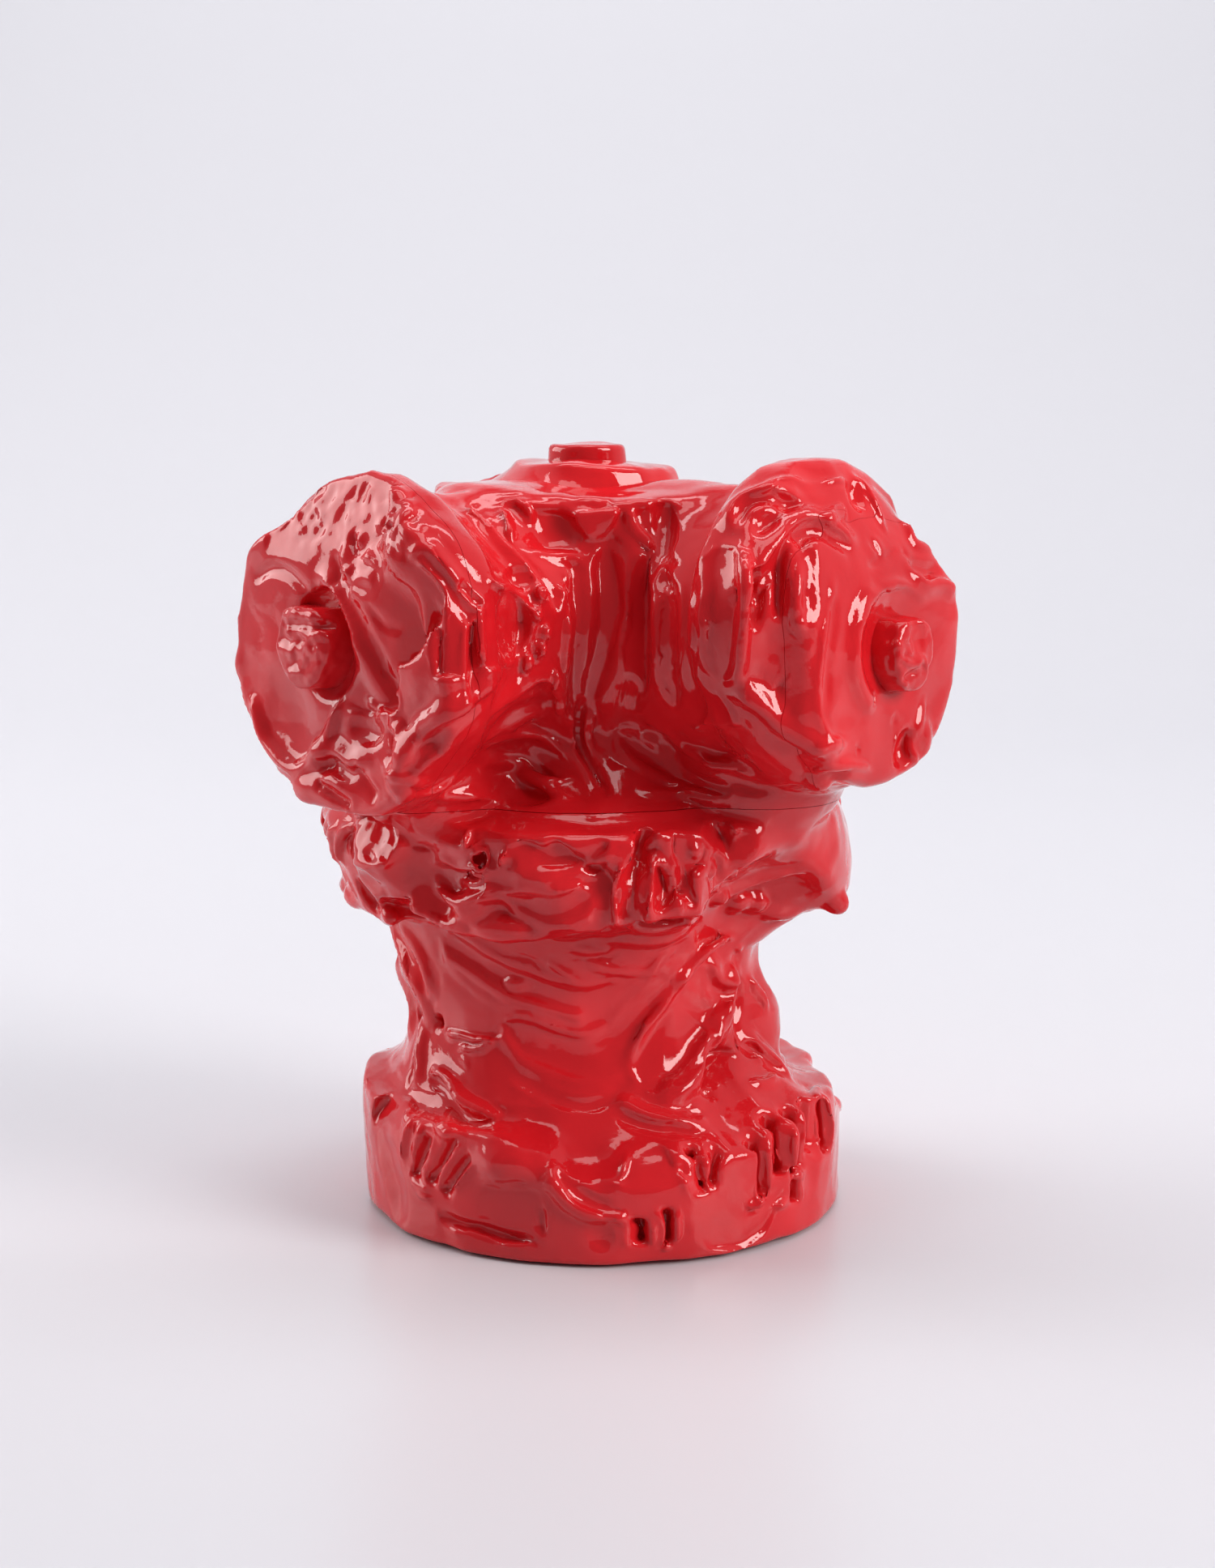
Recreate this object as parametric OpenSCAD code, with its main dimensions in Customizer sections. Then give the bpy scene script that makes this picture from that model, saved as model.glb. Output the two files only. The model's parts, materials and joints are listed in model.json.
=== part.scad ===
// Hand-modelled hydrant figure: hollow vinyl shells joined by snap plugs, on a weighted base.
// X points to the figure's own viewing right, Y to its back and Z up; the origin is the centre
// of the base, on the table.

/* [Base] */
// Radius of the base drum
base_r = 94; // [90:1:98]
// Height of the base drum's rim
base_h = 50; // [48:1:52]
// Radius of the round scoop in the front of the base
scoop_r = 56; // [50:1:58]

/* [Column] */
// Radius of the column at its waist
waist_r = 66; // [61:1:67]
// Height of the waist above the table
waist_z = 90; // [80:1:100]
// Radius of the column's foot on the base
foot_r = 72; // [70:1:74]

/* [Band] */
// Radius of the band under the head
band_r = 96; // [92:1:99]
// Height of the band's lower edge
band_z = 123; // [120:1:128]

/* [Head] */
// Height of the seam that the head turns on
seam_z = 170; // [168:1:172]
// Height of the head's flat top
head_top_z = 283; // [281:1:285]
// Height of the outlets' axes
outlet_z = 233; // [231:1:235]

/* [Left outlet] */
// Direction of the left outlet, in degrees from the front
left_turn = -47; // [-52:1:-44]
// Distance from the figure's axis to the left cap's seam
left_seam = 112; // [108:1:116]
// Radius of the left cap
left_r = 57; // [54:1:58]
// Distance of the left cap's nut from the outlet's axis, sideways
left_nut_side = -10; // [-12:1:0]
// Distance of the left cap's nut from the outlet's axis, upwards
left_nut_up = 2; // [-3:1:3]

/* [Right outlet] */
// Direction of the right outlet, in degrees from the front
right_turn = 51; // [46:1:54]
// Distance from the figure's axis to the right cap's seam
right_seam = 122; // [118:1:126]
// Radius of the right cap
right_r = 47; // [44:1:50]
// Distance of the right cap's nut from the outlet's axis, sideways
right_nut_side = 8; // [0:1:9]
// Distance of the right cap's nut from the outlet's axis, upwards
right_nut_up = -4; // [-4:1:3]

/* [Crown] */
// Radius of the round cover on top
cover_r = 32; // [29:1:34]
// Radius of the crown nut
crown_nut_r = 15; // [13:1:17]
// Distance of the cover and its nut from the figure's axis, along X
crown_x = -3; // [-5:1:5]
// Height of the whole figure
figure_h = 300; // [298:1:303]

/* [Build] */
// Thickness of the vinyl shells
wall = 4; // [3.5:0.5:4.5]
// Gap between parts that turn on each other
seam_gap = 0.4; // [0.3:0.05:0.5]

/* [Hidden] */
$fn = 96;

lacquer = [0.80, 0.07, 0.10];
abs_black = [0.12, 0.12, 0.13];
steel = [0.62, 0.63, 0.65];
felt = [0.22, 0.15, 0.13];

glue = 0.05;                 // room for glue between two fixed parts
eps = 1;                     // how far a cut runs past the surface it opens

felt_t = 1.5;
felt_r = base_r - 9;
plate_t = 3;
lip_r = base_r - 8;          // opening that the base plate is pushed into
base_bottom = 1;             // the drum's edge clears the table
screw_ring_r = 40;
screw_count = 3;
screw_r = 2;
screw_head_r = 4;
screw_head_h = 2;
ballast_r = 55;
ballast_t = 9;

scoop_at = [5, -(base_r + scoop_r - 32), base_h + 32];
column_bore_r = 58;          // opening in the base's deck
snap_lip = 3;                // how far a shell's snap lip stands out
column_top_z = seam_z - seam_gap - wall - glue;
collar_fit_r = 69;           // straight top of the column, inside the band

neck_joint = [39, 22, 12];       // socket radius, spigot radius, socket length
cap_joint = [22, 13, 9];
column_mouth_r = 52;         // opening in the column's top deck, round the socket's flange
plug_ring = 7;               // how much narrower the plug's body is than the socket
flange_w = 5;
flange_t = 3;
run_fit = 0.08;              // radial clearance of a spigot in its socket
lip_w = 2;
lip_t = 3;
slot_w = 2.4;

barrel_left_r = 50;
barrel_right_r = 47;
collar_right_r = 53;
stem_r = 6;
pocket_depth = 4;
left_nut_r = 15.5;
right_nut_r = 13.5;
left_nut_at = [left_nut_side, left_nut_up, 0];
right_nut_at = [right_nut_side, right_nut_up, 0];
left_nut_h = 11.5;
right_nut_h = 9;
left_dome = [14, 18];        // heights of the cap's rim and of its middle above the seam
right_dome = [11, 15];
cover_spigot_r = 12;

// Places children so that their +Z runs along an outlet, with its origin on the cap's seam.
module along_outlet(turn, distance) {
    translate([0, 0, outlet_z])
        rotate([0, 0, turn])
            rotate([90, 0, 0])
                translate([0, 0, distance])
                    children();
}

// Places children evenly around Z.
module around(count, radius, start = 0) {
    for (i = [0 : count - 1])
        rotate([0, 0, start + i * 360 / count])
            translate([radius, 0, 0])
                children();
}

// Ring that a snap plug turns in. Its outer face lies seam_gap under the seam.
module socket(joint) {
    color(abs_black)
    difference() {
        union() {
            translate([0, 0, -seam_gap - joint[2]]) cylinder(h = joint[2], r = joint[0]);
            translate([0, 0, -seam_gap - wall - glue - flange_t])
                cylinder(h = flange_t, r = joint[0] + flange_w);
        }
        translate([0, 0, -seam_gap - joint[2] - eps])
            cylinder(h = joint[2] + 2 * eps, r = joint[1] + run_fit);
    }
}

// Split plug that snaps through a socket and carries the turning shell on its flange.
module plug(joint) {
    body_r = joint[0] - plug_ring;
    tip = -seam_gap - joint[2] - seam_gap;
    color(abs_black)
    difference() {
        union() {
            translate([0, 0, tip]) cylinder(h = -tip, r = joint[1]);
            translate([0, 0, tip - lip_t])
                cylinder(h = lip_t, r1 = joint[1] - 1, r2 = joint[1] + lip_w);
            translate([0, 0, -seam_gap / 4]) cylinder(h = wall + seam_gap / 4 + glue, r = body_r);
            translate([0, 0, wall + glue]) cylinder(h = flange_t, r = body_r + flange_w);
        }
        translate([0, 0, tip - lip_t - eps])
            cylinder(h = joint[2] + lip_t + wall + flange_t + 4 * eps, r = joint[1] - 3);
        for (a = [0, 90])
            rotate([0, 0, a])
                translate([-joint[0], -slot_w / 2, tip - lip_t - eps])
                    cube([2 * joint[0], slot_w, joint[2] + lip_t]);
    }
}

module felt_pad() {
    color(felt) cylinder(h = felt_t, r = felt_r);
}

// One countersunk screw, head down on the plate's underside.
module ballast_screw(grow = 0) {
    cylinder(h = screw_head_h, r1 = screw_head_r + grow, r2 = screw_r + grow);
    translate([0, 0, screw_head_h]) cylinder(h = 8, r = screw_r + grow);
}

module ballast_screws() {
    color(steel)
    around(screw_count, screw_ring_r)
        translate([0, 0, felt_t])
            difference() {
                ballast_screw();
                translate([0, 0, -eps]) cylinder(h = 1 + eps, r = 1.6, $fn = 4);
            }
}

module screw_holes() {
    around(screw_count, screw_ring_r)
        translate([0, 0, felt_t])
            ballast_screw(glue);
}

module base_plate() {
    color(abs_black)
    difference() {
        union() {
            translate([0, 0, felt_t]) cylinder(h = plate_t, r = lip_r - glue);
            translate([0, 0, felt_t + plate_t]) ring(ballast_r + 3, ballast_r + glue, 3);
        }
        screw_holes();
    }
}

module ring(outer_r, inner_r, height) {
    difference() {
        cylinder(h = height, r = outer_r);
        translate([0, 0, -eps]) cylinder(h = height + 2 * eps, r = inner_r);
    }
}

module ballast_disc() {
    color(steel)
    difference() {
        translate([0, 0, felt_t + plate_t]) cylinder(h = ballast_t, r = ballast_r);
        screw_holes();
    }
}

// Round hollow modelled into the front of the base, grown by g for the inside of the shell.
module scoop(g = 0) {
    translate(scoop_at) sphere(r = scoop_r + g);
}

// Upright tool marks around the drum: [direction from the front, width, depth, low end, high end].
flutes = [
    [-48, 9, 2.6, 16, 44], [-39, 8, 2.4, 14, 40], [-30, 8, 2.2, 15, 38],
    [22, 10, 2.8, 6, 30], [34, 8, 2.6, 12, 40], [45, 11, 3.0, 14, 46],
    [56, 9, 2.8, 18, 48], [67, 8, 2.6, 20, 47]
];

module flute_cuts() {
    for (f = flutes)
        rotate([0, 0, f[0] - 90])
            translate([base_r + f[1] / 2 - f[2], 0, f[3]])
                cylinder(h = f[4] - f[3], r = f[1] / 2, $fn = 24);
}

module base_shell() {
    color(lacquer)
    difference() {
        translate([0, 0, base_bottom]) cylinder(h = base_h - base_bottom, r = base_r);
        scoop();
        flute_cuts();
        difference() {
            translate([0, 0, felt_t + plate_t])
                cylinder(h = base_h - felt_t - plate_t - wall, r = base_r - wall - 3);
            scoop(wall);
        }
        translate([0, 0, -eps]) cylinder(h = felt_t + plate_t + 2 * eps, r = lip_r);
        cylinder(h = base_h + eps, r = column_bore_r);
    }
}

// Outline of the column, from the snap lip under the base's deck to the deck that carries the socket.
module column_profile() {
    deck = base_h - wall;
    inner_r = column_bore_r - snap_lip - 1;
    polygon([
        [inner_r - wall + 1, deck - snap_lip],
        [column_bore_r + snap_lip, deck - snap_lip],
        [column_bore_r + snap_lip, deck - glue],
        [column_bore_r - glue, deck - glue],
        [column_bore_r - glue, base_h + glue],
        [foot_r, base_h + glue],
        [foot_r - 3, base_h + 12],
        [waist_r + 0.6, waist_z - 14],
        [waist_r, waist_z],
        [waist_r + 2, waist_z + 16],
        [collar_fit_r, band_z - 2],
        [collar_fit_r, column_top_z],
        [column_mouth_r, column_top_z],
        [column_mouth_r, column_top_z - wall],
        [collar_fit_r - wall, column_top_z - wall],
        [collar_fit_r - wall, band_z - 2],
        [waist_r + 2 - wall, waist_z + 16],
        [waist_r - wall, waist_z],
        [waist_r - wall, base_h + 10],
        [inner_r - wall + 1, base_h]
    ]);
}

module column_shell() {
    color(lacquer) rotate_extrude() column_profile();
}

// Lumps of the band: [direction from the front, radius of the ball, height above the band's edge].
band_lumps = [
    [-78, 14, 22], [-62, 12, 12], [-100, 13, 30], [18, 8, 8], [70, 7, 5], [140, 12, 20], [200, 13, 26]
];

// Outline of the band: outer wall, lower lip round the column and the deck that the head stands on.
module band_profile() {
    top = seam_z - seam_gap;
    hollow_r = band_r - 8 - wall;
    polygon([
        [collar_fit_r + glue, band_z],
        [band_r - 8, band_z],
        [band_r - 1, band_z + 6],
        [band_r, band_z + 24],
        [band_r - 2, top - 5],
        [band_r - 7, top],
        [neck_joint[0] + glue, top],
        [neck_joint[0] + glue, top - wall],
        [hollow_r, top - wall],
        [hollow_r, band_z + wall],
        [collar_fit_r + glue, band_z + wall]
    ]);
}

module band_shell() {
    color(lacquer)
    union() {
        rotate_extrude() band_profile();
        difference() {
            for (l = band_lumps)
                rotate([0, 0, l[0] - 90])
                    translate([band_r - l[1] + 4, 0, band_z + l[2]])
                        sphere(r = l[1], $fn = 48);
            cylinder(h = seam_z + 40, r = band_r - 10);
        }
    }
}

module neck_socket() {
    translate([0, 0, seam_z]) socket(neck_joint);
}

module neck_plug() {
    translate([0, 0, seam_z]) plug(neck_joint);
}

// The head without its hollow: g shrinks it all over.
module head_solid(g = 0) {
    rotate_extrude()
        polygon([
            [0, seam_z + g],
            [74 - g, seam_z + g],
            [66 - g, seam_z + 10 + g],
            [60 - g, seam_z + 25],
            [56 - g, seam_z + 60],
            [58 - g, head_top_z - 8],
            [60 - g, head_top_z - 6],
            [60 - g, head_top_z - g],
            [0, head_top_z - g]
        ]);
    along_outlet(left_turn, 0) {
        cylinder(h = left_seam - seam_gap - g, r = barrel_left_r - g);
        translate([0, 0, left_seam - 26]) cylinder(h = 14, r1 = barrel_left_r - g, r2 = left_r - 2 - g);
        translate([0, 0, left_seam - 12]) cylinder(h = 12 - seam_gap - g, r = left_r - 2 - g);
    }
    along_outlet(right_turn, 0) {
        cylinder(h = right_seam - seam_gap - g, r = barrel_right_r - g);
        translate([0, 0, right_seam - 28]) cylinder(h = 8, r1 = barrel_right_r - g, r2 = collar_right_r - g);
        translate([0, 0, right_seam - 20]) cylinder(h = 10 - 2 * g, r = collar_right_r - g);
    }
}

module joint_opening(joint) {
    translate([0, 0, -wall - seam_gap - eps]) cylinder(h = wall + 3 * eps, r = joint[0] + glue);
}

module head_shell() {
    color(lacquer)
    difference() {
        head_solid();
        head_solid(wall);
        translate([0, 0, seam_z - eps]) cylinder(h = wall + 2 * eps, r = neck_joint[0] - plug_ring + glue);
        along_outlet(left_turn, left_seam) joint_opening(cap_joint);
        along_outlet(right_turn, right_seam) joint_opening(cap_joint);
        translate([crown_x, 0, head_top_z - wall - eps])
            cylinder(h = wall + 2 * eps, r = cover_spigot_r + glue);
    }
}

module crown_cover() {
    thick = figure_h - 6.5 - head_top_z;
    color(lacquer)
    translate([crown_x, 0, 0])
    difference() {
        union() {
            translate([0, 0, head_top_z])
                rotate_extrude()
                    polygon([
                        [0, 0], [cover_r - 1, 0], [cover_r, 1.5], [cover_r - 1, thick - 3],
                        [cover_r - 4, thick], [0, thick]
                    ]);
            translate([0, 0, head_top_z - 6]) cylinder(h = 7, r = cover_spigot_r);
        }
        translate([0, 0, head_top_z - 6 - eps]) cylinder(h = thick + 6 + eps - 3, r = cover_spigot_r - 3);
        translate([0, 0, head_top_z + thick - 3 - eps]) cylinder(h = 3 + 2 * eps, r = stem_r + glue);
    }
}

module crown_nut() {
    seat = figure_h - 6.5;
    color(lacquer)
    translate([crown_x, 0, 0]) {
        translate([0, 0, seat])
            rotate_extrude()
                polygon([[0, 0], [crown_nut_r - 0.6, 0], [crown_nut_r, 1.6], [crown_nut_r - 0.4, 5.4],
                         [crown_nut_r - 1.6, 6.5], [0, 6.5]]);
        translate([0, 0, seat - 5]) cylinder(h = 6, r = stem_r);
    }
}

// A cap's outline from its axis to its rim, g inside its surface.
function cap_outline(radius, dome, g) = [
    [0, g],
    [radius - g, g],
    [radius - g, dome[0] - 5 - g / 2],
    [radius - 2 - g, dome[0] - g],
    [radius * 0.62, (dome[0] + dome[1]) / 2 + 1 - g],
    [radius * 0.36, dome[1] - g],
    [0, dome[1] - g]
];

// Hollow cap with a round pocket for its nut, which stands a little off the outlet's axis.
module cap_shell(radius, dome, nut_r, nut_at) {
    plug_r = cap_joint[0] - plug_ring;
    color(lacquer)
    difference() {
        rotate_extrude() polygon(cap_outline(radius, dome, 0));
        difference() {
            rotate_extrude() polygon(cap_outline(radius, dome, wall));
            cylinder(h = dome[1], r = plug_r + flange_w + wall);
            translate(nut_at) cylinder(h = dome[1], r = nut_r + 7);
        }
        translate([0, 0, wall + glue])
            cylinder(h = dome[1] - pocket_depth - 2 * wall + 0.5, r = plug_r + flange_w + glue);
        translate(nut_at) {
            translate([0, 0, dome[1] - pocket_depth]) cylinder(h = pocket_depth + eps, r = nut_r + 3);
            translate([0, 0, wall + eps]) cylinder(h = dome[1], r = stem_r + glue);
        }
        translate([0, 0, -eps]) cylinder(h = wall + 2 * eps, r = plug_r + glue);
    }
}

// Five-sided operating nut with a round stem that is glued into the cap.
module cap_nut(nut_r, nut_at, dome, height) {
    floor_z = dome[1] - pocket_depth;
    color(lacquer)
    translate(nut_at) {
        translate([0, 0, floor_z]) cylinder(h = height, r1 = nut_r + 0.8, r2 = nut_r - 0.6, $fn = 5);
        translate([0, 0, floor_z - 3]) cylinder(h = 3 + eps, r = stem_r);
    }
}

// Small lump of clay left on the left cap's rim.
module rim_lug() {
    rotate([0, 0, 188]) translate([left_r - 1, 0, 5]) sphere(r = 5, $fn = 32);
}

module left_cap_shell() {
    color(lacquer)
    along_outlet(left_turn, left_seam) {
        cap_shell(left_r, left_dome, left_nut_r, left_nut_at);
        rim_lug();
    }
}

module right_cap_shell() {
    color(lacquer)
    along_outlet(right_turn, right_seam) cap_shell(right_r, right_dome, right_nut_r, right_nut_at);
}

module left_cap_socket() {
    along_outlet(left_turn, left_seam) socket(cap_joint);
}

module right_cap_socket() {
    along_outlet(right_turn, right_seam) socket(cap_joint);
}

module left_cap_plug() {
    along_outlet(left_turn, left_seam) plug(cap_joint);
}

module right_cap_plug() {
    along_outlet(right_turn, right_seam) plug(cap_joint);
}

module left_cap_nut() {
    along_outlet(left_turn, left_seam) cap_nut(left_nut_r, left_nut_at, left_dome, left_nut_h);
}

module right_cap_nut() {
    along_outlet(right_turn, right_seam) cap_nut(right_nut_r, right_nut_at, right_dome, right_nut_h);
}

felt_pad();
base_plate();
ballast_disc();
ballast_screws();
base_shell();
column_shell();
band_shell();
neck_socket();
head_shell();
neck_plug();
left_cap_socket();
right_cap_socket();
crown_cover();
crown_nut();
left_cap_shell();
left_cap_plug();
left_cap_nut();
right_cap_shell();
right_cap_plug();
right_cap_nut();
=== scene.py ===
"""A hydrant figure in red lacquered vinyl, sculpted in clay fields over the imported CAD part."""

import json
import math

import bmesh
import bpy
import numpy as np
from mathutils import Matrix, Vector


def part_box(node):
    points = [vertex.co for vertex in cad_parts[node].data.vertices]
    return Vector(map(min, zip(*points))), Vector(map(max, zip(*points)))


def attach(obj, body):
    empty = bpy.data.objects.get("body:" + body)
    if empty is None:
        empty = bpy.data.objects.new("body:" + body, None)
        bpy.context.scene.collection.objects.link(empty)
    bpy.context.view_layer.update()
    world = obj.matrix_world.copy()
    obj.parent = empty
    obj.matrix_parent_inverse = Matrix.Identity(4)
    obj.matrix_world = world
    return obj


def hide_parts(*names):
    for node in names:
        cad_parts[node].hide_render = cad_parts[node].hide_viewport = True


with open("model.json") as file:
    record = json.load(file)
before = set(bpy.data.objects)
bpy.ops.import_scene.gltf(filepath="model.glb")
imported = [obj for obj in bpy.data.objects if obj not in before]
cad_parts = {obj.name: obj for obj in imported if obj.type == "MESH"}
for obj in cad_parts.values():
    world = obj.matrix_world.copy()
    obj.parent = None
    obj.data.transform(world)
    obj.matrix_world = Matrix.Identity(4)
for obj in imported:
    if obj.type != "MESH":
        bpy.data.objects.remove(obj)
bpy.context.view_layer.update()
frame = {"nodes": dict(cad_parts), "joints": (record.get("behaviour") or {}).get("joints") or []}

MM = 0.001
GRID = 1.0      # the clay's grain, mm
FAR = 60.0                             # distance given to empty clay, mm
JOINTS = {j["name"]: j for j in frame["joints"]}
SEAM_Z = JOINTS["head_turn"]["pos_m"][2] / MM
GAP = 0.1                              # half the gap left at a turning seam, mm
FRONT_Y, ABOVE_Z = -150.0, 310.0       # where presses from the front and from above start, mm
ROUND_R, SIDE_R = 150.0, 90.0          # how far out presses towards the figure's and an outlet's axis start
FACE_OUT = 190.0                       # how far along an outlet's axis presses on its cap's face start, mm


# ---------------------------------------------------------------- clay

def smooth_min(a, b, blend):
    """The smaller of two distances, rounded over where they are within blend of each other."""
    h = np.maximum(blend - np.abs(a - b), 0.0) / blend
    return np.minimum(a, b) - h * h * blend / 4


def smooth_max(a, b, blend):
    return -smooth_min(-a, -b, blend)


def spline(points, spacing):
    """Points about spacing apart on a smooth curve through the given ones."""
    p = np.array(points, float)
    if len(p) == 1:
        return p
    q = np.vstack([2 * p[0] - p[1], p, 2 * p[-1] - p[-2]])
    out = []
    for i in range(len(p) - 1):
        a, b, c, d = q[i:i + 4]
        n = max(1, int(round(np.linalg.norm(c - b) / spacing)))
        t = np.linspace(0, 1, n, endpoint=False)[:, None]
        out.append(0.5 * (2 * b + (c - a) * t + (2 * a - 5 * b + 4 * c - d) * t ** 2
                          + (3 * b - a - 3 * c + d) * t ** 3))
    return np.vstack(out + [p[-1:]])


def unit(v):
    return v / np.maximum(np.linalg.norm(v, axis=-1, keepdims=True), 1e-9)


def cubic(t):
    """Six times the B-spline weights of the four lattice values round a place t of the way across a cell."""
    return (1 - t) ** 3, 3 * t ** 3 - 6 * t ** 2 + 4, -3 * t ** 3 + 3 * t ** 2 + 3 * t + 1, t ** 3


def spline_weights(places, scale, count):
    """Weights that carry values on a coarse lattice to the given places."""
    g = places / scale + 1
    i = np.floor(g).astype(int)
    w = np.zeros((len(places), count))
    rows = np.arange(len(places))
    for k, value in enumerate(cubic(g - i)):
        w[rows, i - 1 + k] += value / 6
    return w


class Clay:
    """A block of clay: each grid point holds its distance in mm from the surface, negative inside."""

    def __init__(self, low, high, step=GRID):
        self.low = np.array(low, float)
        self.step = step
        self.count = np.ceil((np.array(high, float) - self.low) / step).astype(int) + 1
        self.axes = [self.low[i] + step * np.arange(self.count[i]) for i in range(3)]
        self.f = np.full(self.count, FAR, np.float32)

    def window(self, low, high):
        """The part of the grid between two corners, with its coordinates."""
        a = np.clip(np.floor((np.array(low) - self.low) / self.step).astype(int), 0, self.count)
        b = np.clip(np.ceil((np.array(high) - self.low) / self.step).astype(int) + 1, 0, self.count)
        part = tuple(slice(i, j) for i, j in zip(a, b))
        x, y, z = (self.axes[i][part[i]].astype(np.float32) for i in range(3))
        return part, x[:, None, None], y[None, :, None], z[None, None, :]

    def everywhere(self):
        return self.window(self.low, self.low + self.step * self.count)

    def add(self, shape, low, high, blend, sign=1):
        """Joins a shape, given as its distance function, to the clay between two corners."""
        part, x, y, z = self.window(np.array(low) - blend - 2, np.array(high) + blend + 2)
        if self.f[part].size:
            self.f[part] = sign * smooth_min(sign * self.f[part], shape(x, y, z), blend)

    def cut(self, shape, low, high, blend):
        """Takes a shape away."""
        self.add(shape, low, high, blend, -1)

    def noise(self, scale, seed):
        """Smooth random values over the whole block, with swells about scale long on each axis."""
        scale = np.broadcast_to(np.array(scale, float), 3)
        spans = [a - a[0] for a in self.axes]
        counts = [int(s[-1] / k) + 5 for s, k in zip(spans, scale)]
        value = np.random.default_rng(seed).normal(size=counts) * 1.6
        for s, k, n in zip(spans, scale, counts):
            weights = spline_weights(s, k, n).astype(np.float32)
            value = np.tensordot(value.astype(np.float32), weights, axes=([0], [1]))
        return value

    def sample(self, points):
        """The clay's values at points, between grid points by straight interpolation."""
        g = (points - self.low) / self.step
        i = np.clip(np.floor(g).astype(int), 0, self.count - 2)
        t = np.clip(g - i, 0, 1)
        value = 0
        for dx in (0, 1):
            for dy in (0, 1):
                for dz in (0, 1):
                    w = (np.abs(1 - dx - t[..., 0]) * np.abs(1 - dy - t[..., 1])
                         * np.abs(1 - dz - t[..., 2]))
                    value = value + w * self.f[i[..., 0] + dx, i[..., 1] + dy, i[..., 2] + dz]
        return value

    def normal(self, points):
        h = 1.5 * self.step
        slope = [self.sample(points + h * e) - self.sample(points - h * e) for e in np.eye(3)]
        return unit(np.stack(slope, -1))

    def touch(self, starts, directions, reach=260.0):
        """The first surface points met from starts along directions, with their outward normals."""
        t = np.arange(0, reach, 0.75 * self.step)
        points = starts[:, None] + t[None, :, None] * directions[:, None]
        value = self.sample(points)
        inside = (points >= self.low) & (points <= self.low + self.step * (self.count - 1))
        value = np.where(inside.all(-1), value, FAR)
        first = np.argmax(value < 0, axis=1)
        rows = np.arange(len(starts))
        hit = value[rows, first] < 0
        k = np.maximum(first, 1)
        a, b = value[rows, k - 1], value[rows, k]
        where = t[k - 1] + (t[k] - t[k - 1]) * a / np.where(np.abs(a - b) < 1e-6, 1, a - b)
        spots = starts + where[:, None] * directions
        return spots[hit], self.normal(spots[hit])


# ---------------------------------------------------------------- ways to press on the clay

def from_front(points):
    """Points given as (x, z) in front elevation, pressed towards the back."""
    p = np.array(points, float)
    starts = np.stack([p[:, 0], np.full(len(p), FRONT_Y), p[:, 1]], -1)
    return starts, np.tile([0.0, 1.0, 0.0], (len(p), 1))


def from_above(points):
    """Points given as (x, y) in plan, pressed down."""
    p = np.array(points, float)
    starts = np.stack([p[:, 0], p[:, 1], np.full(len(p), ABOVE_Z)], -1)
    return starts, np.tile([0.0, 0.0, -1.0], (len(p), 1))


def towards_axis(points):
    """Points given as (degrees round from the front, height), pressed towards the figure's axis."""
    p = np.array(points, float)
    a = np.radians(p[:, 0])
    out = np.stack([np.sin(a), -np.cos(a), 0 * a], -1)
    return out * ROUND_R + np.stack([0 * a, 0 * a, p[:, 1]], -1), -out


class Outlet:
    """An outlet's own directions: out along its axis, right and up as seen by someone facing its cap."""

    def __init__(self, joint):
        self.out = np.array(JOINTS[joint]["axis"], float)
        self.seam = float(np.dot(self.out, JOINTS[joint]["pos_m"])) / MM
        self.z = JOINTS[joint]["pos_m"][2] / MM
        self.right = np.array([-self.out[1], self.out[0], 0.0])
        self.up = np.array([0.0, 0.0, 1.0])

    def at(self, right, up, out):
        """A point in the object's frame."""
        return self.out * out + self.right * right + self.up * (up + self.z)

    def face(self, points):
        """Points given as (right, up) on the cap's face, pressed along the axis."""
        p = np.array(points, float)
        starts = np.array([self.at(a, b, FACE_OUT) for a, b in p])
        return starts, np.tile(-self.out, (len(p), 1))

    def side(self, points):
        """Points given as (distance out, degrees clockwise from the top), pressed towards the axis."""
        p = np.array(points, float)
        a = np.radians(p[:, 1])
        away = np.sin(a)[:, None] * self.right + np.cos(a)[:, None] * self.up
        middle = self.out * p[:, :1] + np.array([0, 0, self.z])
        return middle + away * SIDE_R, -away

    def coordinates(self, x, y, z):
        """Right, up and out of grid points."""
        right = x * self.right[0] + y * self.right[1]
        out = x * self.out[0] + y * self.out[1]
        return right, z - self.z, out


LEFT = Outlet("left_cap_turn")
RIGHT = Outlet("right_cap_turn")


# ---------------------------------------------------------------- shapes

def along(x, y, z, point, way):
    """How far grid points lie from point in a direction."""
    return (x - point[0]) * way[0] + (y - point[1]) * way[1] + (z - point[2]) * way[2]


def square(x, y, z, point):
    """The square of grid points' distance from point."""
    return (x - point[0]) ** 2 + (y - point[1]) ** 2 + (z - point[2]) ** 2


def chain(points, radii):
    """A rope through points, with a radius at each."""
    def shape(x, y, z):
        best = None
        for a, b, ra, rb in zip(points[:-1], points[1:], radii[:-1], radii[1:]):
            d = b - a
            t = np.clip(along(x, y, z, a, d) / max(float(d @ d), 1e-9), 0, 1)
            away = np.sqrt((x - a[0] - t * d[0]) ** 2 + (y - a[1] - t * d[1]) ** 2
                           + (z - a[2] - t * d[2]) ** 2)
            dist = away - (ra + (rb - ra) * t)
            best = dist if best is None else np.minimum(best, dist)
        return best
    return shape


def ball(centre, radii, turn=np.eye(3)):
    """An ellipsoid; turn is a 3x3 of its own directions."""
    def shape(x, y, z):
        k = np.sqrt(sum((along(x, y, z, centre, e) / r) ** 2 for e, r in zip(turn, radii)))
        return (k - 1) * min(radii)
    return shape


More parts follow.
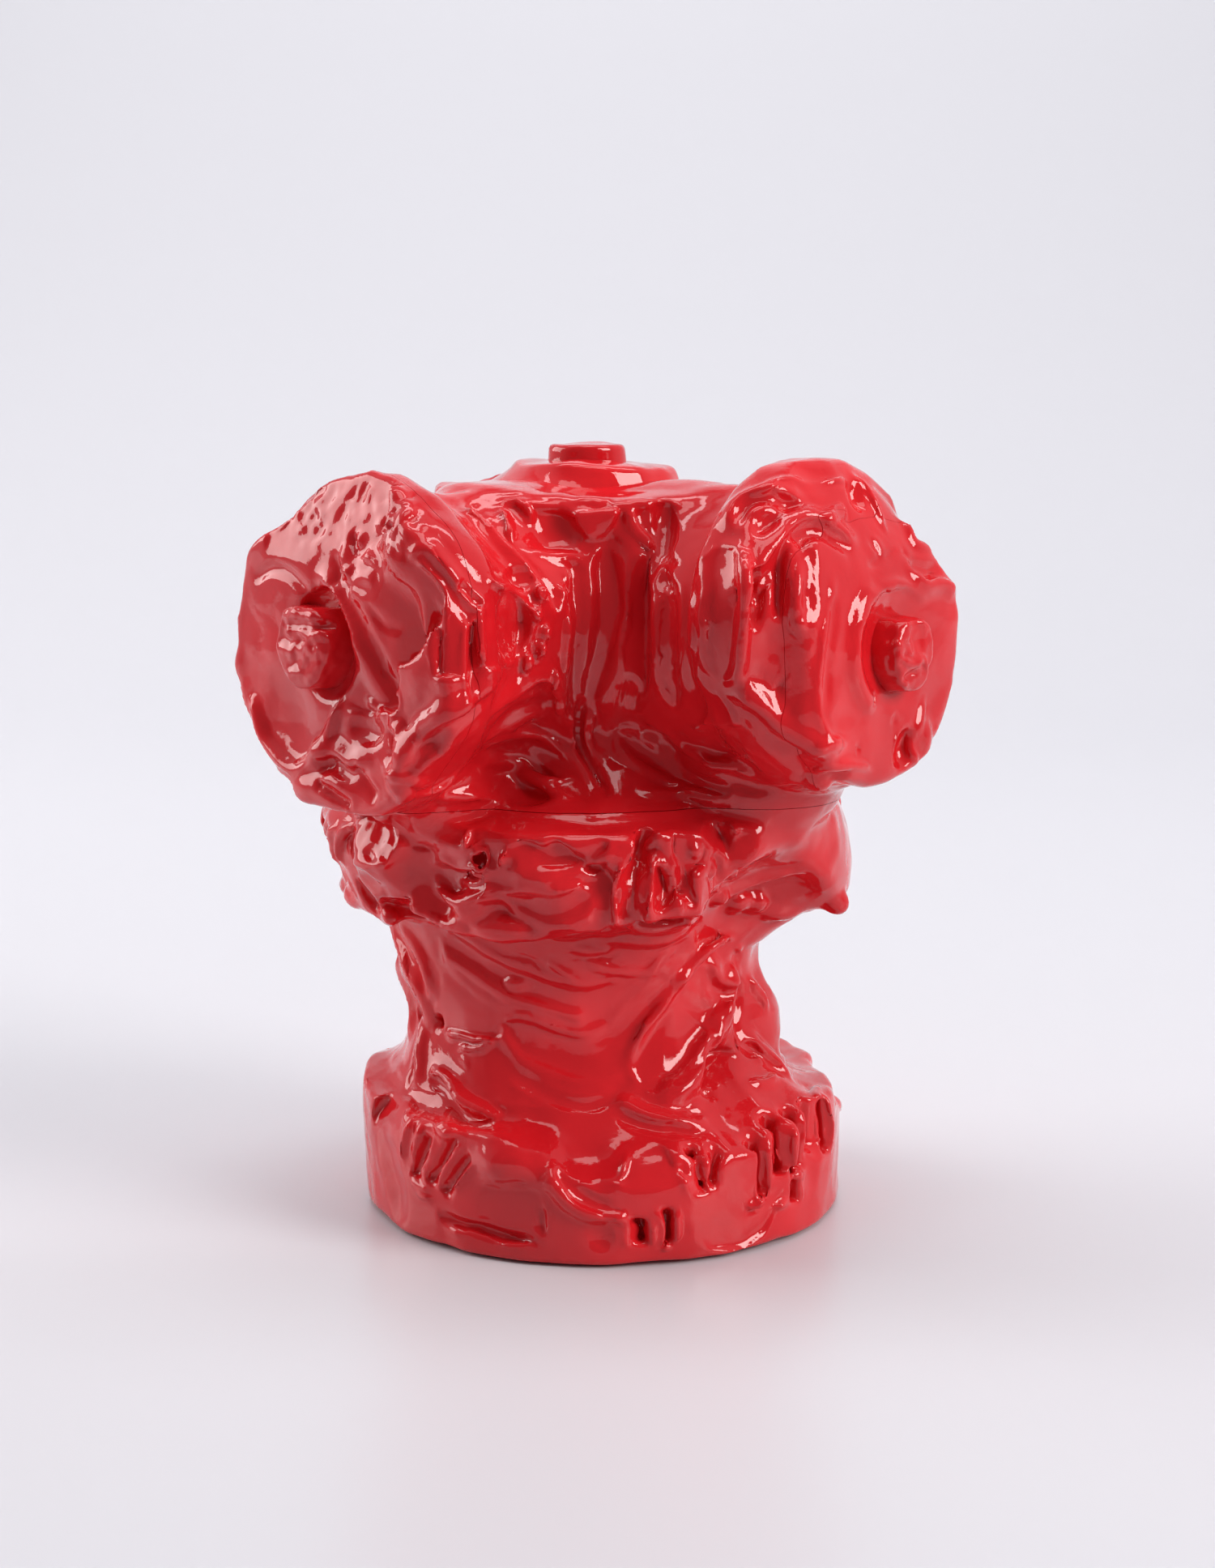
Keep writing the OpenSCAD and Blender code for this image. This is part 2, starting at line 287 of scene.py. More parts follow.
def facet(point, normal, radius):
    """Everything on the far side of a plane, within radius of point."""
    def shape(x, y, z):
        return np.maximum(-along(x, y, z, point, normal), np.sqrt(square(x, y, z, point)) - radius)
    return shape


def plate(corners, thick, lift):
    """A thin flat plate with straight edges between corners; lift is its outward direction."""
    c = np.array(corners, float)
    middle = c.mean(0)
    n = unit(np.cross(c[1] - c[0], c[2] - c[0]))
    if n @ lift < 0:
        c, n = c[::-1], -n
    edges = []
    for a, b in zip(c, np.roll(c, -1, axis=0)):
        out = unit(np.cross(b - a, n))
        edges.append((a, out if out @ (a - middle) > 0 else -out))

    def shape(x, y, z):
        dist = np.abs(along(x, y, z, middle, n)) - thick / 2
        for a, out in edges:
            dist = np.maximum(dist, along(x, y, z, a, out))
        return dist
    return shape


# ---------------------------------------------------------------- strokes

def taper(n, ends):
    """Rises from ends to 1 and falls again along a stroke of n points."""
    t = np.linspace(0, 1, max(n, 2))
    return ends + (1 - ends) * np.sqrt(np.clip(1 - (2 * t - 1) ** 4, 0, 1))


def even(path, rounds=2):
    """Takes the jitter out of a line of points."""
    p = path.copy()
    for _ in range(rounds):
        if len(p) > 2:
            p[1:-1] = (p[:-2] + 2 * p[1:-1] + p[2:]) / 4
    return p


def rope(clay, path, radii, blend, cut=False):
    """A rope of clay through points, with one radius or one at each, or with cut the furrow it would fill."""
    radii = np.broadcast_to(radii, len(path))
    low, high = path.min(0) - radii.max(), path.max(0) + radii.max()
    (clay.cut if cut else clay.add)(chain(path, radii), low, high, blend)


class Hand:
    """Tools pressed on a block of clay; press turns the places they are given into starts and ways in."""

    def __init__(self, clay, press):
        self.clay, self.press = clay, press

    def follow(self, points, spacing=2.5):
        """A smooth line over the clay through points, with its normals and its sideways directions."""
        spots, normals = self.clay.touch(*self.press(spline(points, spacing)))
        leaps = np.flatnonzero(np.linalg.norm(np.diff(spots, axis=0), axis=1) > 3 * spacing) + 1
        runs = np.split(np.arange(len(spots)), leaps)
        longest = max(runs, key=len)
        spots, normals = spots[longest], normals[longest]
        if len(spots) < 2:
            return None
        spots, normals = even(spots), unit(even(normals))
        side = unit(np.cross(np.gradient(spots, axis=0), normals))
        return spots, normals, side

    def ridge(self, points, radius=3.0, height=1.5, blend=3.0, ends=0.4):
        """A roll of clay laid along a line."""
        line = self.follow(points)
        if line:
            radii = radius * taper(len(line[0]), ends)
            rope(self.clay, line[0] + line[1] * (height - radius), radii, blend)

    def groove(self, points, radius=3.0, depth=1.5, blend=1.5, ends=0.4):
        """A furrow drawn along a line with a round tool."""
        line = self.follow(points)
        if line:
            k = taper(len(line[0]), ends)[:, None]
            rope(self.clay, line[0] + line[1] * (radius - depth * k), radius, blend, cut=True)

    def drag(self, points, width=18.0, depth=2.5, lip=1.2, blend=2.5):
        """A furrow dragged with a finger, with a lip of clay pushed up along both sides."""
        lip_r = 2.2
        line = self.follow(points)
        if not line:
            return
        spots, normals, side = line
        k = taper(len(spots), 0.3)[:, None]
        radius = (width * width / 4 + depth * depth) / (2 * depth)
        rope(self.clay, spots + normals * (radius - depth * k), radius, blend, cut=True)
        for way in (-1, 1):
            edge = spots + side * way * width * 0.52 * k + normals * (lip - lip_r)
            rope(self.clay, edge, lip_r * k[:, 0], 2.5)

    def fold(self, points, height=2.0, width=7.0, way=1, blend=3.0):
        """A crest with a long slope on one side and a steep drop on the other."""
        line = self.follow(points)
        if not line:
            return
        spots, normals, side = line
        k = taper(len(spots), 0.25)[:, None]
        crest_r, foot_r = width * 0.7, width * 0.55
        rope(self.clay, spots + normals * (height * k - crest_r), crest_r, blend)
        foot = spots + side * way * width * 0.75 + normals * (foot_r - 0.4 * height * k)
        rope(self.clay, foot, foot_r, 0.9, cut=True)

    def chisel(self, points, width=6.0, depth=3.0, lean=0.0, blend=0.5):
        """A V-shaped cut along a line, square at its ends; lean from -1 to 1 steepens one of its walls."""
        line = self.follow(points)
        if not line:
            return
        spots, normals, _ = line
        start, end = spots[0], spots[-1]
        run = unit(end - start)
        length = float(np.linalg.norm(end - start))
        n = unit(normals.mean(0))
        n = unit(n - run * (n @ run))
        across = np.cross(run, n)
        steep = 2 * depth / width
        left, right = steep / (1 - 0.8 * lean), steep / (1 + 0.8 * lean)

        def shape(x, y, z):
            s, w = along(x, y, z, start, run), along(x, y, z, start, across)
            h = along(x, y, z, start, n) + depth
            wall = np.maximum((left * -w - h) / math.hypot(1, left), (right * w - h) / math.hypot(1, right))
            return np.maximum(np.maximum(wall, np.abs(s - length / 2) - length / 2), h - depth - 8)
        reach = width + depth
        self.clay.cut(shape, np.minimum(start, end) - reach, np.maximum(start, end) + reach, blend)

    def chip(self, box, count, seed, size=(4.0, 8.0), depth=(0.8, 2.2), tilt=28.0):
        """Breaks the clay's surface within a box of press coordinates into small uneven facets."""
        rng = np.random.default_rng(seed)
        for _ in range(count):
            place = (rng.uniform(box[0], box[1]), rng.uniform(box[2], box[3]))
            self.shave(place, rng.uniform(*size), rng.uniform(*depth),
                       (rng.uniform(-tilt, tilt), rng.uniform(-tilt, tilt)), blend=0.3)

    def stand_on(self, point):
        """The surface point that a press meets, with the directions across, up and out of it, or None."""
        spots, normals = self.clay.touch(*self.press(np.array([point], float)))
        if not len(spots):
            return None
        n = normals[0]
        across = unit(np.cross([0.0, 0.0, 1.0] if abs(n[2]) < 0.9 else [0.0, 1.0, 0.0], n))
        return spots[0], across, np.cross(n, across), n

    def lump(self, point, size=(6, 6, 3), out=0.0, blend=4.0, spin=0.0, cut=False):
        """A dab of clay, or with cut a dent, sized across, along and out of the surface."""
        place = self.stand_on(point)
        if not place:
            return
        spot, a, b, n = place
        c, s = math.cos(math.radians(spin)), math.sin(math.radians(spin))
        turn = np.array([a * c + b * s, b * c - a * s, n])
        centre = spot + n * out
        reach = max(size)
        change = self.clay.cut if cut else self.clay.add
        change(ball(centre, size, turn), centre - reach, centre + reach, blend)

    def shave(self, point, radius=10.0, depth=1.5, tilt=(0.0, 0.0), blend=0.8):
        """A flat cut; tilt leans it, in degrees, about the surface's across and upward directions."""
        place = self.stand_on(point)
        if not place:
            return
        spot, a, b, n = place
        n = unit(n + b * math.tan(math.radians(tilt[0])) + a * math.tan(math.radians(tilt[1])))
        centre = spot - n * depth
        self.clay.cut(facet(centre, n, radius), centre - radius, centre + radius, blend)

    def flap(self, points, thick=3.0, lift=(0.0, 0.0, 0.0), blend=1.5):
        """A flat scrap of clay between three or four surface points, each lifted by its own amount."""
        spots, normals = self.clay.touch(*self.press(np.array(points, float)))
        if len(spots) < 3:
            return
        n = unit(normals.mean(0))
        rise = np.resize(np.array(lift, float), len(spots))[:, None]
        corners = spots + n * (rise - thick * 0.4)
        self.clay.add(plate(corners, thick, n), corners.min(0) - thick, corners.max(0) + thick, blend)

    def roughen(self, point, radius=14.0, amount=0.5):
        """Leaves a patch of the clay torn and pitted."""
        place = self.stand_on(point)
        if place:
            part, x, y, z = self.clay.window(place[0] - radius, place[0] + radius)
            away = square(x, y, z, place[0]) / radius ** 2
            self.clay.f[part] += amount * np.clip(1.4 - 1.4 * away, 0, 1) * self.clay.grit[part]


# ---------------------------------------------------------------- meshes

CORNERS = [tuple(slice(1, None) if k >> a & 1 else slice(None, -1) for a in range(3)) for k in range(8)]


def net(clay):
    """Points and outward quads of the clay's surface: one point in each cell that it crosses."""
    f = clay.f
    inside = f < 0
    total = sum(inside[c].astype(np.uint8) for c in CORNERS)
    cells = np.argwhere((total > 0) & (total < 8))
    number = np.full(total.shape, -1, np.int64)
    number[tuple(cells.T)] = np.arange(len(cells))
    spot, hits = np.zeros((len(cells), 3)), np.zeros((len(cells), 1))
    quads = []
    for axis in range(3):
        u, v = (axis + 1) % 3, (axis + 2) % 3
        for du in (0, 1):
            for dv in (0, 1):
                a = cells.copy()
                a[:, u] += du
                a[:, v] += dv
                b = a.copy()
                b[:, axis] += 1
                fa, fb = f[tuple(a.T)], f[tuple(b.T)]
                cross = (fa < 0) != (fb < 0)
                p = a.astype(float)
                p[:, axis] += np.where(cross, fa / np.where(cross, fa - fb, 1), 0)
                spot += p * cross[:, None]
                hits += cross[:, None]
        low = [slice(None)] * 3
        high = [slice(None)] * 3
        low[axis], high[axis] = slice(None, -1), slice(1, None)
        edges = np.argwhere(inside[tuple(low)] != inside[tuple(high)])
        edges = edges[(edges[:, u] > 0) & (edges[:, v] > 0)
                      & (edges[:, u] < f.shape[u] - 1) & (edges[:, v] < f.shape[v] - 1)]
        ring = []
        for du, dv in ((-1, -1), (0, -1), (0, 0), (-1, 0)):
            c = edges.copy()
            c[:, u] += du
            c[:, v] += dv
            ring.append(number[tuple(c.T)])
        quad = np.stack(ring, -1)
        quads.append(np.where(inside[tuple(edges.T)][:, None], quad, quad[:, ::-1]))
    return clay.low + clay.step * spot / hits, np.vstack(quads)


def soften(clay):
    """Rounds the clay's grain off, as a coat of lacquer does."""
    f = clay.f
    for axis in range(3):
        f = np.swapaxes(f, 0, axis)
        g = f.copy()
        g[1:-1] = (f[:-2] + 2 * f[1:-1] + f[2:]) / 4
        f = np.swapaxes(g, 0, axis)
    clay.f = f


def drift(points, scale, seed):
    """Smooth random vectors at points, with swells about scale long."""
    low = points.min(0)
    g = (points - low) / scale
    i = np.floor(g).astype(int)
    weights = cubic(g - i)
    value = np.random.default_rng(seed).normal(size=tuple(i.max(0) + 4) + (3,)).astype(np.float32) * 1.6
    total = np.zeros((len(points), 3), np.float32)
    for a in range(4):
        for b in range(4):
            for c in range(4):
                w = weights[a][:, 0] * weights[b][:, 1] * weights[c][:, 2] / 216
                total += w[:, None].astype(np.float32) * value[i[:, 0] + a, i[:, 1] + b, i[:, 2] + c]
    return total


def unsteady(points, quads, seed):
    """Slides the surface along itself unevenly, so that no stroke keeps a machine-made edge."""
    p = points[quads]
    across = np.cross(p[:, 2] - p[:, 0], p[:, 3] - p[:, 1])
    normals = np.stack([sum(np.bincount(quads[:, k], across[:, a], len(points)) for k in range(4))
                        for a in range(3)], -1)
    normals = unit(normals)
    slide = 1.7 * drift(points, 9.0, seed) + 0.8 * drift(points, 4.0, seed + 1)
    slide -= (slide * normals).sum(1, keepdims=True) * normals
    slide += 0.16 * drift(points, 4.5, seed + 2)
    free = np.clip(points[:, 2:] / 5 - 0.3, 0, 1)      # the foot stays flat on the floor
    return points + slide * free, quads


def subset(points, quads, keep):
    """The quads that keep picks, with only their own points."""
    quads = quads[keep]
    used, index = np.unique(quads, return_inverse=True)
    return points[used], index.reshape(quads.shape)


def make_object(name, points, quads):
    mesh = bpy.data.meshes.new(name)
    mesh.vertices.add(len(points))
    mesh.vertices.foreach_set("co", (points * MM).astype(np.float32).ravel())
    mesh.loops.add(quads.size)
    mesh.loops.foreach_set("vertex_index", quads.astype(np.int32).ravel())
    mesh.polygons.add(len(quads))
    mesh.polygons.foreach_set("loop_start", np.arange(0, quads.size, 4, dtype=np.int32))
    mesh.update(calc_edges=True)
    mesh.shade_smooth()
    obj = bpy.data.objects.new(name, mesh)
    bpy.context.scene.collection.objects.link(obj)
    return obj


def casting(name, points, quads, planes):
    """An object of the part of a net behind every plane (point, outward normal), each cut closed flat."""
    # a first rough trim, by the level planes alone where there are any: they don't cross each other
    for point, normal in [plane for plane in planes if plane[1][2]] or planes:
        side = (points - point) @ normal
        points, quads = subset(points, quads, side[quads].min(1) < 0)
    obj = make_object(name, points, quads)
    bm = bmesh.new()
    bm.from_mesh(obj.data)
    for point, normal in planes:
        point, normal = Vector(point) * MM, Vector(normal)
        bm.verts.index_update()
        outside = [(v.co - point).dot(normal) > 0 for v in bm.verts]
        beyond = [f for f in bm.faces if any(outside[v.index] for v in f.verts)]
        geom = set(beyond)
        for f in beyond:
            geom.update(f.verts)
            geom.update(f.edges)
        bmesh.ops.bisect_plane(bm, geom=list(geom), plane_co=point, plane_no=normal, clear_outer=True)
        rim = [e for e in bm.edges if e.is_boundary
               and all(abs((v.co - point).dot(normal)) < 0.01 * MM for v in e.verts)]
        for e in rim:
            e.smooth = False
        made = bmesh.ops.triangle_fill(bm, use_beauty=False, edges=rim, normal=normal)
        for face in made["geom"]:
            if isinstance(face, bmesh.types.BMFace):
                face.smooth = False
    bm.to_mesh(obj.data)
    bm.free()
    return obj


# ---------------------------------------------------------------- big forms

COLUMN_CUT, BAND_CUT = 61.0, 120.6       # heights at which the stand's castings are parted, mm


def drum(x, y, radius, centre=(0.0, 0.0)):
    """Distance from an upright cylinder's side."""
    return np.sqrt((x - centre[0]) ** 2 + (y - centre[1]) ** 2) - radius


def disc(right, up, out, centre, radius, back, face, blend):
    """A thick disc across an outlet's axis, from back to face."""
    side = np.sqrt((right - centre[0]) ** 2 + (up - centre[1]) ** 2) - radius
    return smooth_max(smooth_max(side, out - face, blend), back - out, blend)


def hump(angle, middle, width):
    """Rises to 1 at the middle angle and falls to 0 width degrees away."""
    away = np.abs((angle - middle + 180) % 360 - 180)
    rise = np.clip(1 - away / width, 0, 1)
    return rise ** 2 * (3 - 2 * rise)


def head_form(x, y, z):
    """The head with both outlets and their caps."""
    rise = z - SEAM_Z
    angle = np.degrees(np.arctan2(x, -y)).astype(np.float32)
    foot = 9 * hump(angle, -4, 60) * np.clip(1 - rise / 30, 0, 1) ** 2
    bowl = 77 - 18 * np.clip(rise / 26, 0, 1) ** 0.6 + 3 * np.clip((rise - 60) / 50, 0, 1) + foot
    top = z - 282 - 1.8 * np.clip((10 - x) / 30, 0, 1)
    f = np.maximum(smooth_max(drum(x, y, bowl), top, 5.0), SEAM_Z - 12 - z)
    for outlet, radius, rim, rim_at, face in ((LEFT, 50, 59, 106, 118), (RIGHT, 50, 56, 108, 116)):
        right, up, out = outlet.coordinates(x, y, z)
        flare = np.clip((out - (rim_at - 26)) / 22, 0, 1)
        tube = np.sqrt(right ** 2 + up ** 2) - radius - (rim - radius) * flare * flare
        f = smooth_min(f, np.maximum(smooth_max(tube, out - face, 6.0), -out), 16.0)
    right, up, out = LEFT.coordinates(x, y, z)
    cap = disc(right, up, out, (-4, -2), 63.5, 104, 126, 5.0)
    cap = smooth_max(cap, 0.91 * up - 0.42 * right - 52.5, 4.0)
    f = smooth_min(f, cap, 5.0)
    right, up, out = RIGHT.coordinates(x, y, z)
    f = smooth_min(f, disc(right, up, out, (-6, 8.5), 56.5, 90, 112, 8.0), 6.0)
    f = smooth_min(f, disc(right, up, out, (2, 8), 56.5, 94, 111, 8.0), 2.0)
    cap = disc(right, up, out, (1.5, -2.5), 51.6, 104, 133.6, 6.0)
    cap = smooth_max(cap, 0.87 * (out - 133) + 0.494 * (up - 22), 5.0)
    cap = smooth_max(cap, 0.6 * (out - 133) - 0.8 * (right + 40), 7.0)
    f = smooth_min(f, cap, 8.0)
    for cx, cy in ((-62, -52), (60, -46)):
        chin = np.sqrt((x - cx) ** 2 * 1.2 + (y - cy) ** 2 * 1.2 + ((z - 178) * 1.5) ** 2) - 36
        f = smooth_min(f, chin, 10.0)
    return f


def band_form(x, y, z, angle):
    """The thick uneven band round the neck."""
    r = np.sqrt((x + 3) ** 2 + y ** 2)
    swell = 99 + 2.5 * np.sin(np.clip((z - 124) / 44, 0, 1) * math.pi)
    swell = swell - 5 * hump(angle, -75, 35) * np.clip((148 - z) / 20, 0, 1)
    swell = swell + 2 * hump(angle, 84, 34) * np.clip((150 - z) / 14, -1.4, 1)
    swell = swell + 5.5 * hump(angle, -84, 34) * np.clip((z - 140) / 14, 0, 1)
    low = 122.5 + 1.8 * np.cos(np.radians(angle * 3 + 40)) - z
    top = z - (SEAM_Z - 0.8 - 0.26 * np.clip(r - 78, 0, 40))
    return np.maximum(smooth_max(smooth_max(r - swell, low, 8.0), top, 4.0), 50 - r)


def stand_form(x, y, z, angle):
    """The drum base and the column."""
    waist = 68 + 8 * np.clip((86 - z) / 30, 0, 1) ** 2 + 8 * np.clip((z - 98) / 30, 0, 1) ** 1.6
    waist = waist + 6 * hump(angle, -88, 50) * np.clip((z - 80) / 14, 0, 1)
    waist = waist + 6 * hump(angle, 88, 40) * np.clip(1 - np.abs(z - 78) / 18, 0, 1)
    waist = waist + 14 * hump(angle, 88, 44) * np.clip((z - 106) / 10, 0, 1)
    column = np.maximum(drum(x, y, waist, (-5, 0)), z - 142)
    rim = 94.5 - 6 * hump(angle, 98, 24) * np.clip((z - 36) / 6, 0, 1)
    base = smooth_max(drum(x, y, rim, (1.8, 0)), z - 49 - 4.5 * hump(angle, -98, 26), 4.0)
    f = smooth_min(column, base, 11.0 + 24 * hump(angle, 48, 62))
    scoop = np.sqrt((x - 2) ** 2 * 0.55 + (y + 112) ** 2 + (z - 74) ** 2) - 43
    return np.maximum(smooth_max(f, -scoop, 8.0), 0.8 - z)


def block_out():
    """The whole figure but its nuts and crown, in one block of clay."""
    clay = Clay((-154, -136, -4), (150, 112, 304))
    _, x, y, z = clay.everywhere()
    angle = np.degrees(np.arctan2(x, -y)).astype(np.float32)
    layers = 40                          # how many are worked out at a time, which saves memory
    for i in range(0, clay.count[2], layers):
        level = z[:, :, i:i + layers]
        f = smooth_min(head_form(x, y, level), band_form(x, y, level, angle), 6.0)
        f = smooth_min(f, stand_form(x, y, level, angle), 5.0)
        clay.f[:, :, i:i + layers] = f
    return clay


# ---------------------------------------------------------------- modelling marks

def work_over(clay, seed, swell=0.9, ripple=0.35):
    """The uneven surface that hands leave all over, and the grit that rough patches use."""
    clay.f += swell * clay.noise(17.0, seed) + ripple * clay.noise((7.0, 7.0, 9.0), seed + 1)
    clay.grit = clay.noise(2.6, seed + 2)


def model_left_outlet(clay):
    """The left outlet: its cap's torn face and lower lobe, its barrel and the strap beside the valley."""
    face, front = Hand(clay, LEFT.face), Hand(clay, from_front)
    # the cap's upper face, cut flat and torn, over the step above the lower face
    face.shave((-8, 36), 36, 3.0, tilt=(15.5, 2))
    face.shave((28, 46), 20, 1.0, tilt=(20, 6))
    face.lump((-6, 26), (9, 7, 2.4), 0.6, 2.5, cut=True)
    face.lump((14, 34), (10, 5, 2.0), 0.8, 2.5, cut=True, spin=30)
    face.groove([(-50, 20), (-40, 24), (-30, 23), (-20, 18)], 2.6, 1.3, 1.5)
    face.shave((33, 18), 20, 3.2, tilt=(-12, 18))
    face.ridge([(35, 8), (36, 2), (34, -4)], 2.0, 2.2, 1.2)
    face.groove([(18, 12), (23, 6), (30, 8)], 2.0, 1.4, 1.0)
    # recess round the nut and the roll of clay beside it
    face.shave((14, -6), 20, 1.2, tilt=(-4, 16))
    face.fold([(-8, 24), (2, 14), (10, 2), (16, -10), (22, -21)], 2.2, 8, way=-1)
    face.lump((-9, -1), (17, 21, 6), 0.6, 1.2, cut=True)
    face.ridge([(12, -20), (17, -23.5), (24, -24)], 2.2, 2.0, 1.5)
    face.lump((14, -31), (10, 6, 4), 0.5, 1.5, cut=True)
    # lower lobe with its turned-up edge
    face.lump((-30, -30), (17, 15, 4), 1.0, 3, cut=True, spin=-30)
    face.ridge([(-54, -28), (-48, -40), (-38, -47), (-27, -50), (-16, -45), (-8, -36), (-1, -24)],
               3.0, 3.0, 2.0)
    face.chisel([(-52, -40), (-42, -52)], 5, 2.2, 0.5)
    face.chisel([(-40, -54), (-26, -58)], 5, 2.2, 0.5)
    face.lump((-20, -56), (8, 5, 3.5), 0, 3)
    face.lump((-4, -54), (10, 6, 4), 0, 4)
    face.fold([(-14, -43), (-4, -40), (6, -44), (14, -42)], 2.4, 6)
    face.chisel([(-12, -53), (6, -59)], 5, 2.2, -0.4)
    face.chisel([(8, -45), (20, -54)], 6, 2.6, 0.4)
    for p in ((30, -27), (34, -36), (28, -44)):
        face.fold([p, (p[0] + 4, p[1] - 4), (p[0] + 5, p[1] - 9)], 2.0, 5)
    # flat faces and ribs down the barrel
    front.shave((-66, 244), 17, 1.6, tilt=(-4, 14))
    front.shave((-51, 240), 14, 2.4, tilt=(0, -12))
    front.shave((-60, 214), 15, 2.0, tilt=(-14, 6))
    front.ridge([(-59, 258), (-58.5, 242), (-58, 225)], 1.9, 3.6, 0.7, ends=0.8)
    front.chisel([(-54.5, 258), (-53.5, 226)], 7, 3.6, 0.7)
    front.ridge([(-45, 243), (-45, 230), (-45, 216)], 2.0, 3.4, 0.8, ends=0.7)
    front.chisel([(-41.5, 242), (-42, 216)], 6, 3.0, 0.6)
    front.ridge([(-41, 248), (-40, 238), (-39, 228)], 1.6, 2.2, 0.9)
    front.ridge([(-40, 224), (-36, 227), (-34, 223)], 2.0, 2.0, 1.0)
    # strap from the rim into the valley
    front.ridge([(-62, 276), (-50, 269), (-40, 260), (-32, 249), (-26, 236)], 14, 2.4, 5)
    front.fold([(-62, 286), (-50, 280), (-38, 271), (-28, 262), (-21, 252), (-17, 243)],
               2.6, 6, way=-1)
    front.fold([(-60, 270), (-55, 265), (-50, 259), (-46, 253), (-42, 248)], 2.6, 6, way=1)
    front.chisel([(-46, 258), (-40, 250)], 5, 3.0, 0.6)
    # pocket beside the valley
    front.shave((-29, 240), 12, 3.0, tilt=(4, 16))
    front.lump((-27, 256), (6, 5, 4), 1.5, 1.0, cut=True)
    front.ridge([(-37, 256), (-33, 252), (-28, 247)], 2.0, 3.0, 0.8)
    for x, z in ((-20, 250), (-22, 243), (-19, 236), (-21, 230), (-26, 226)):
        front.lump((x, z), (2.8, 3.4, 2.6), 0.8, 1.0)
    # crest along the underside of the barrel
    front.fold([(-36, 222), (-48, 214), (-58, 207), (-66, 197), (-70, 187)], 3.4, 8, way=-1)
    front.fold([(-46, 205), (-33, 213), (-21, 220), (-15, 217), (-14, 206), (-11, 198)], 3.0, 7, way=1)
    front.groove([(-36, 202), (-27, 208), (-20, 209)], 5, 2.0, 2)
    front.lump((-33, 188), (4.5, 5, 2.5), 0.6, 1.0, cut=True)
    front.shave((-52, 192), 16, 1.6, tilt=(-6, 8))
    for points in ([(-76, 186), (-68, 188), (-60, 184)], [(-62, 178), (-52, 176), (-42, 178)]):
        front.ridge(points, 2.6, 2.0, 2)
    bridge = np.array([LEFT.at(4, 44, 88), LEFT.at(8, 44, 68), (-50, -8, 278)])
    rope(clay, bridge, np.array([7.0, 6.0, 5.0]), 6)
    lug = LEFT.at(-64, -14, 119)
    clay.add(ball(lug, (5.5, 5.5, 5.5)), lug - 6, lug + 6, 5)


def open_pocket(clay, seam, axis, radius, depth):
    """A round hollow across a joint's seam, depth deep below it, where the socket and the plug are."""
    middle, half = seam - axis * (depth - 2) / 2, (depth + 2) / 2

    def shape(x, y, z):
        out = along(x, y, z, middle, axis)
        side = np.sqrt(np.maximum(square(x, y, z, middle) - out ** 2, 0)) - radius
        return np.maximum(side, np.abs(out) - half)
    clay.cut(shape, middle - radius - depth, middle + radius + depth, 0.5)


def clear_left_cap(clay):
    """Parts the left cap's lowest edge from the band, so that it turns over the band freely."""
    middle = LEFT.at(0, SEAM_Z - LEFT.z, 120)
    clay.cut(lambda x, y, z: np.maximum(z - SEAM_Z - 0.6, 110 - LEFT.coordinates(x, y, z)[2]),
             middle - 44, middle + 44, 1.2)


